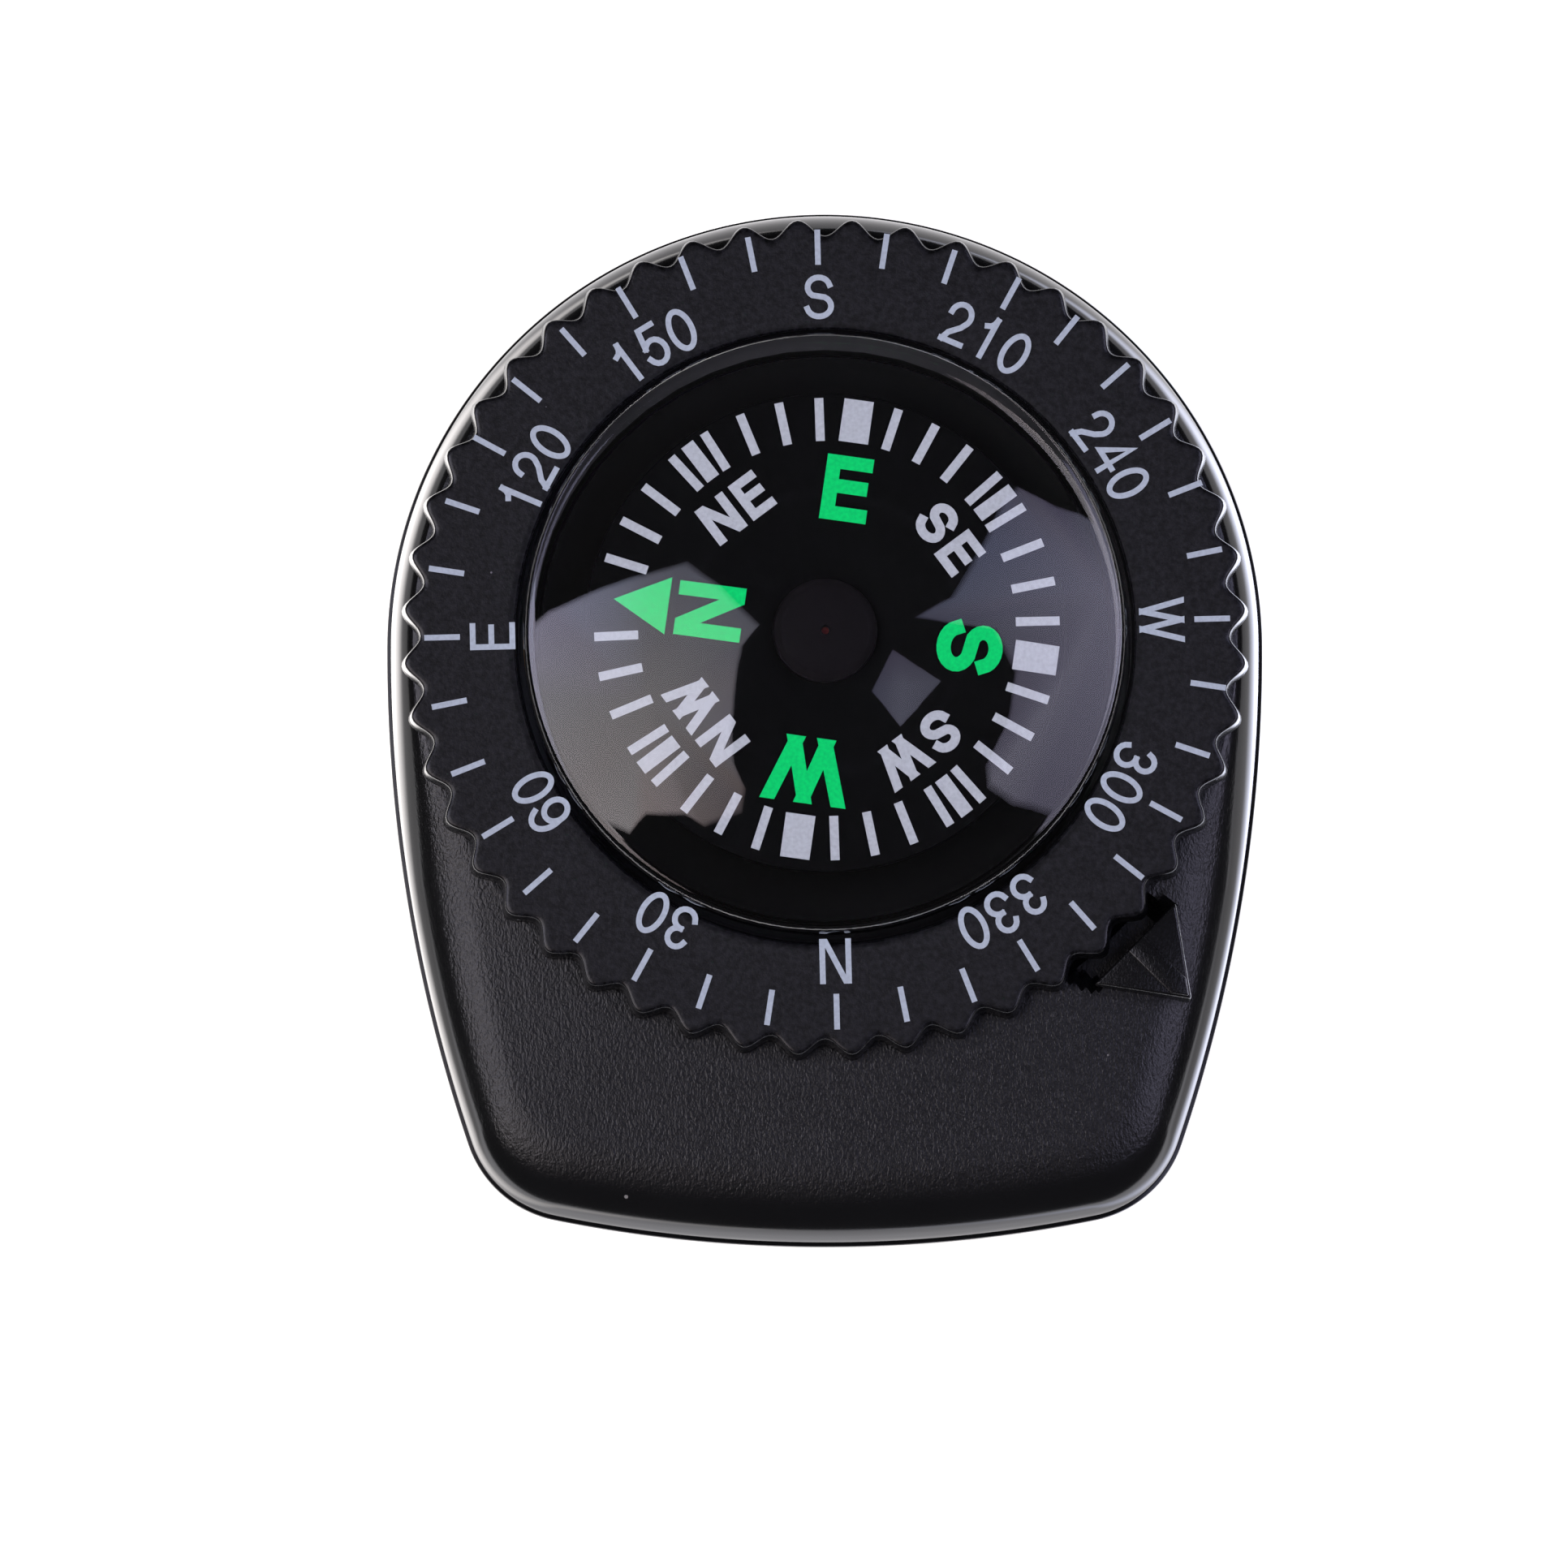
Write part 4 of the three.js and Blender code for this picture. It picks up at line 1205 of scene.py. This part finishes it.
class OBJECT_OT_compass_clip(bpy.types.Operator):
    """Makes the clip lever, its hinge pin and its spring"""

    bl_idname = "object.compass_clip"
    bl_label = "Clip"

    def execute(self, context):
        clip = context.scene.compass_clip
        plastic = plain_plastic("Satin black ABS lever", "#1a1a1c", 0.4, 0.22, 0.04, 1.54)
        place(softened("lever", "clip_lever", plastic, 0.06), "clip", "case_abs", "clip_lever")
        steel = worked_metal("Spring steel", "#8f9397", 0.26, (1, 1, 1))
        place(self.pin(steel), "case", "steel", "hinge_pin")
        coil, tail = self.spring(clip, steel)
        place(coil, "case", "steel", "clip_spring")
        place(tail, "clip", "steel")
        return {"FINISHED"}

    def pin(self, steel):
        """The hinge pin, with a small chamfer at each end."""
        section = [(0, -7), (0.42, -7), (0.5, -6.92), (0.5, 6.92), (0.42, 7), (0, 7)]
        pin = revolve("pin", section, [steel], 48)
        across = Matrix.Rotation(math.pi / 2, 4, "Y")
        pin.data.transform(Matrix.Translation((0, HINGE_Y * MM, HINGE_Z * MM)) @ across)
        return pin

    def spring(self, clip, steel):
        """A torsion spring round the pin: the coil with the plate's leg, and the lever's leg.

        The lever's leg is a wire of its own that turns with the lever. It starts inside the coil's last
        turn, so the two stay joined at every angle of the lever.
        """
        coil, leg = clip.coil / MM, clip.leg / MM
        turns, pitch = 5.5, 0.6
        half = turns * pitch / 2
        line = [(-half, HINGE_Y - leg, HINGE_Z + coil)]
        line.append((-half, HINGE_Y - leg / 2, HINGE_Z + coil))
        steps = 176
        for i in range(steps + 1):
            share = i / steps
            angle = math.pi / 2 - 2 * math.pi * turns * share
            across = half * (2 * share - 1)
            line.append((across, HINGE_Y + coil * math.cos(angle), HINGE_Z + coil * math.sin(angle)))
        shared_points, leg_share = 15, 0.88
        lever = line[-shared_points:]
        lever.append((half, HINGE_Y - leg / 2, HINGE_Z - coil - 0.045 * leg / 2))
        lever.append((half, HINGE_Y - leg, HINGE_Z - coil - 0.045 * leg))
        coiled = self.wire("spring", line, clip.wire, steel)
        return coiled, self.wire("spring_lever_leg", lever, clip.wire * leg_share, steel)

    def wire(self, name, line, radius, steel):
        """A round wire along a line of points in millimetres."""
        curve = bpy.data.curves.new(name, "CURVE")
        curve.dimensions = "3D"
        spline = curve.splines.new("POLY")
        spline.points.add(len(line) - 1)
        for point, place_ in zip(spline.points, line):
            point.co = (*[c * MM for c in place_], 1)
        source = linked(name, curve)
        wire = grown(source, wire_tree(), radius=radius, sides=14, metal=steel)
        shade(wire.data, 50)
        return wire


# ---- Stage -----------------------------------------------------------------------------------

# Light boxes: the direction (degrees from overhead, compass turn), a point that sees every corner,
# the colour there, and the corners, each with its colour. Points are shares of the distance
# (across, up), which is the same for each box.
BOX_DISTANCE = 420
BOXES = [
    (
        "left_box",
        (30.6, -170.7),
        (0.02, -0.02),
        (3.4, 3.2, 3.3),
        [
            (-0.40, 0.16, (1.8, 1.8, 2.3)),
            (-0.31, 0.26, (1.9, 1.9, 2.4)),
            (-0.16, 0.38, (1.9, 1.9, 2.3)),
            (-0.10, 0.31, (2.1, 2.0, 2.4)),
            (0.01, 0.27, (2.5, 2.3, 2.6)),
            (0.14, 0.23, (2.6, 2.4, 2.8)),
            (0.26, 0.21, (2.4, 2.2, 2.4)),
            (0.35, 0.23, (2.1, 1.7, 1.7)),
            (0.43, 0.20, (1.8, 1.5, 1.6)),
            (0.44, 0.06, (2.4, 2.0, 2.0)),
            (0.38, 0.01, (3.6, 3.1, 3.2)),
            (0.35, -0.11, (4.2, 3.6, 3.6)),
            (0.40, -0.19, (4.5, 4.2, 4.3)),
            (0.28, -0.34, (4.6, 4.2, 4.3)),
            (0.05, -0.46, (4.6, 4.4, 4.7)),
            (-0.11, -0.50, (4.5, 4.4, 5.0)),
            (-0.25, -0.46, (4.8, 4.6, 5.9)),
            (-0.32, -0.31, (4.0, 3.8, 5.1)),
            (-0.33, -0.24, (3.9, 3.9, 5.3)),
            (-0.36, -0.10, (3.1, 3.2, 4.3)),
            (-0.38, 0.04, (2.2, 2.2, 2.8)),
        ],
    ),
    (
        "right_box",
        (36.6, 5.8),
        (0.15, -0.26),
        (2.7, 2.6, 3.6),
        [
            (0.12, 0.37, (1.2, 1.2, 1.8)),
            (0.17, 0.24, (1.5, 1.6, 2.4)),
            (0.32, 0.11, (1.5, 1.6, 2.5)),
            (0.46, 0.01, (1.5, 1.5, 2.3)),
            (0.51, -0.06, (1.4, 1.3, 1.9)),
            (0.43, -0.16, (1.3, 1.2, 1.9)),
            (0.40, -0.24, (1.4, 1.4, 2.0)),
            (0.29, -0.38, (2.3, 2.2, 3.1)),
            (0.09, -0.44, (2.9, 2.7, 3.9)),
            (-0.10, -0.43, (3.6, 3.4, 4.7)),
            (-0.29, -0.38, (3.1, 2.9, 4.1)),
            (-0.43, -0.30, (2.5, 2.4, 3.3)),
            (-0.54, -0.14, (1.8, 1.7, 2.4)),
            (-0.50, 0.00, (1.8, 1.7, 2.4)),
            (-0.49, 0.06, (2.1, 2.0, 2.7)),
            (-0.43, 0.15, (2.4, 2.3, 3.0)),
            (-0.36, 0.16, (1.6, 1.5, 2.1)),
            (-0.21, 0.09, (1.5, 1.4, 2.0)),
            (-0.07, 0.06, (1.5, 1.4, 2.0)),
            (0.06, 0.12, (1.6, 1.6, 2.2)),
            (0.09, 0.26, (1.2, 1.2, 1.8)),
        ],
    ),
    (
        "small_box",
        (14.2, -16.0),
        (0, 0),
        (1.6, 1.6, 2.2),
        [
            (0.10, 0.06, (1.0, 0.9, 1.4)),
            (-0.04, 0.09, (1.0, 1.0, 1.5)),
            (-0.12, -0.03, (1.6, 1.6, 2.2)),
            (0.05, -0.11, (1.3, 1.3, 1.8)),
        ],
    ),
]


class OBJECT_OT_compass_stage(bpy.types.Operator):
    """Makes the floor, the light boxes and the camera"""

    bl_idname = "object.compass_stage"
    bl_label = "Stage"

    def execute(self, context):
        stage = context.scene.compass_stage
        scene = context.scene
        scene.view_settings.view_transform = "Standard"
        self.floor(stage)
        for item in BOXES:
            self.box(stage, *item)
        world = bpy.data.worlds.new("Studio")
        scene.world = world
        world.use_nodes = True
        background = world.node_tree.nodes["Background"].inputs
        background["Color"].default_value = (1, 1, 1, 1)
        background["Strength"].default_value = 0.045
        self.camera(scene)
        return {"FINISHED"}

    def floor(self, stage):
        """A pale matt board, lit so hard at its left, right and far side that it glows; clear from below."""
        made, tree = material("Pale board")
        fibre = noise(tree, 6.0)
        dark, pale = rgba(stage.floor, 0.98), rgba(stage.floor)
        colour = add(tree, MIX, {0: fibre, 6: dark, 7: pale}, 2, data_type="RGBA")
        where = add(tree, "ShaderNodeTexCoord", out="Object")
        x, y = add(tree, "ShaderNodeSeparateXYZ", [where], slice(2))
        middle, far_side, near_side = (0.8, 0.8, 0.78, 1), (1.0, 1.0, 1.0, 1), (2.4, 2.4, 2.5, 1)
        far = add(tree, RANGE, [y, 0.022, 0.05, 0, 1])
        glow = add(tree, MIX, {0: far, 6: middle, 7: far_side}, 2, data_type="RGBA")
        near = add(tree, RANGE, [y, -0.034, -0.022, 1, 0])
        glow = add(tree, MIX, {0: near, 6: glow, 7: near_side}, 2, data_type="RGBA")
        # Beside the compass: which side, how far the glow reaches, and its colour.
        for side, reach, bright in ((1, 0.019, (4.6, 4.8, 5.8, 1)), (-1, 0.023, (5.2, 5.0, 4.9, 1))):
            away = add(tree, MATH, [x, side], operation="MULTIPLY")
            near = add(tree, RANGE, [away, 0.014, 0.018, 0, 1])
            far = add(tree, RANGE, [away, reach, reach + 0.009, 1, 0])
            strip = add(tree, MATH, [near, far], operation="MULTIPLY")
            glow = add(tree, MIX, {0: strip, 6: glow, 7: bright}, 2, data_type="RGBA")
        inputs = {"Base Color": colour, "Roughness": 0.9, "Emission Color": glow, "Emission Strength": 1.0}
        board = add(tree, PRINCIPLED, inputs)
        below = add(tree, "ShaderNodeNewGeometry", out="Backfacing")
        clear = add(tree, "ShaderNodeBsdfTransparent")
        add(tree, OUTPUT, [add(tree, "ShaderNodeMixShader", {0: below, 1: board, 2: clear})])
        half, low = 900, -0.02
        corners = [(-half, -half, low), (half, -half, low), (half, half, low), (-half, half, low)]
        mesh_object("floor", corners, [(0, 1, 2, 3)], [made])

    def box(self, stage, name, middle, hub, bright, corners):
        """A flat light box, square to the line from the compass, that fades at its edge."""
        tilt, turn = (math.radians(a) for a in middle)
        out = Vector((math.sin(tilt) * math.cos(turn), math.sin(tilt) * math.sin(turn), math.cos(tilt)))
        across = Vector((0, 0, 1)).cross(out).normalized()
        up = out.cross(across)
        count = len(corners)
        cx, cy = hub
        points, colours = [hub], [bright]
        for share, fade in ((0.95, 1.0), (1.0, 0.2)):
            for x, y, colour in corners:
                points.append((cx + (x - cx) * share, cy + (y - cy) * share))
                colours.append([c * fade for c in colour])
        rings = [[0], list(range(1, count + 1)), list(range(count + 1, 2 * count + 1))]
        aim = Vector((0, 0, 11))
        points = [(out + across * x + up * y) * BOX_DISTANCE + aim for x, y in points]
        made, tree = material(name + " glow")
        glow = add(tree, "ShaderNodeAttribute", out="Color", attribute_name="glow")
        light = add(tree, "ShaderNodeEmission", {"Color": glow, "Strength": stage.glow})
        add(tree, OUTPUT, [light])
        panel = mesh_object(name, points, bands(rings, False), [made])
        shades = panel.data.color_attributes.new("glow", "FLOAT_COLOR", "POINT")
        for item, shade_ in zip(shades.data, colours):
            item.color = (*shade_, 1)
        panel.visible_camera = False

    def camera(self, scene):
        """A long lens, almost overhead, a little towards the thumb end."""
        lens = bpy.data.cameras.new("Camera")
        lens.lens = 279.5
        lens.sensor_width = 36
        lens.clip_start = 0.01
        lens.clip_end = 10
        camera = linked("Camera", lens)
        aim = Vector((-1.32, -4.80, 9.55)) * MM
        tilt, distance = math.radians(83.7), 391.5 * MM
        camera.location = aim + Vector((0, -math.cos(tilt), math.sin(tilt))) * distance
        camera.rotation_euler = (math.pi / 2 - tilt, 0, 0)
        scene.camera = camera


# ---- Panel and registration ------------------------------------------------------------------

STEPS = (
    OBJECT_OT_compass_case,
    OBJECT_OT_compass_base,
    OBJECT_OT_compass_bezel,
    OBJECT_OT_compass_capsule,
    OBJECT_OT_compass_card,
    OBJECT_OT_compass_clip,
    OBJECT_OT_compass_stage,
)
SETTINGS = {
    "compass_case": CompassCaseSettings,
    "compass_bezel": CompassBezelSettings,
    "compass_capsule": CompassCapsuleSettings,
    "compass_card": CompassCardSettings,
    "compass_clip": CompassClipSettings,
    "compass_stage": CompassStageSettings,
}


class VIEW3D_PT_compass(bpy.types.Panel):
    """Lists the compass's settings and operators"""

    bl_label = "Strap-clip compass"
    bl_space_type = "VIEW_3D"
    bl_region_type = "UI"
    bl_category = "Compass"

    def draw(self, context):
        for name, group in SETTINGS.items():
            box = self.layout.box()
            box.label(text=name.replace("_", " ").capitalize())
            for key in group.__annotations__:
                box.prop(getattr(context.scene, name), key)
        for step in STEPS:
            self.layout.operator(step.bl_idname)


CLASSES = (*SETTINGS.values(), *STEPS, VIEW3D_PT_compass)


def register():
    """Adds the settings, operators and panel."""
    for item in CLASSES:
        bpy.utils.register_class(item)
    for name, group in SETTINGS.items():
        setattr(bpy.types.Scene, name, PointerProperty(type=group))


def unregister():
    """Takes them away again."""
    for name in SETTINGS:
        delattr(bpy.types.Scene, name)
    for item in reversed(CLASSES):
        bpy.utils.unregister_class(item)


def main():
    """Makes everything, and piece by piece."""
    register()
    for step in STEPS:
        getattr(bpy.ops.object, step.bl_idname.split(".")[1])()


if __name__ == "__main__":
    main()
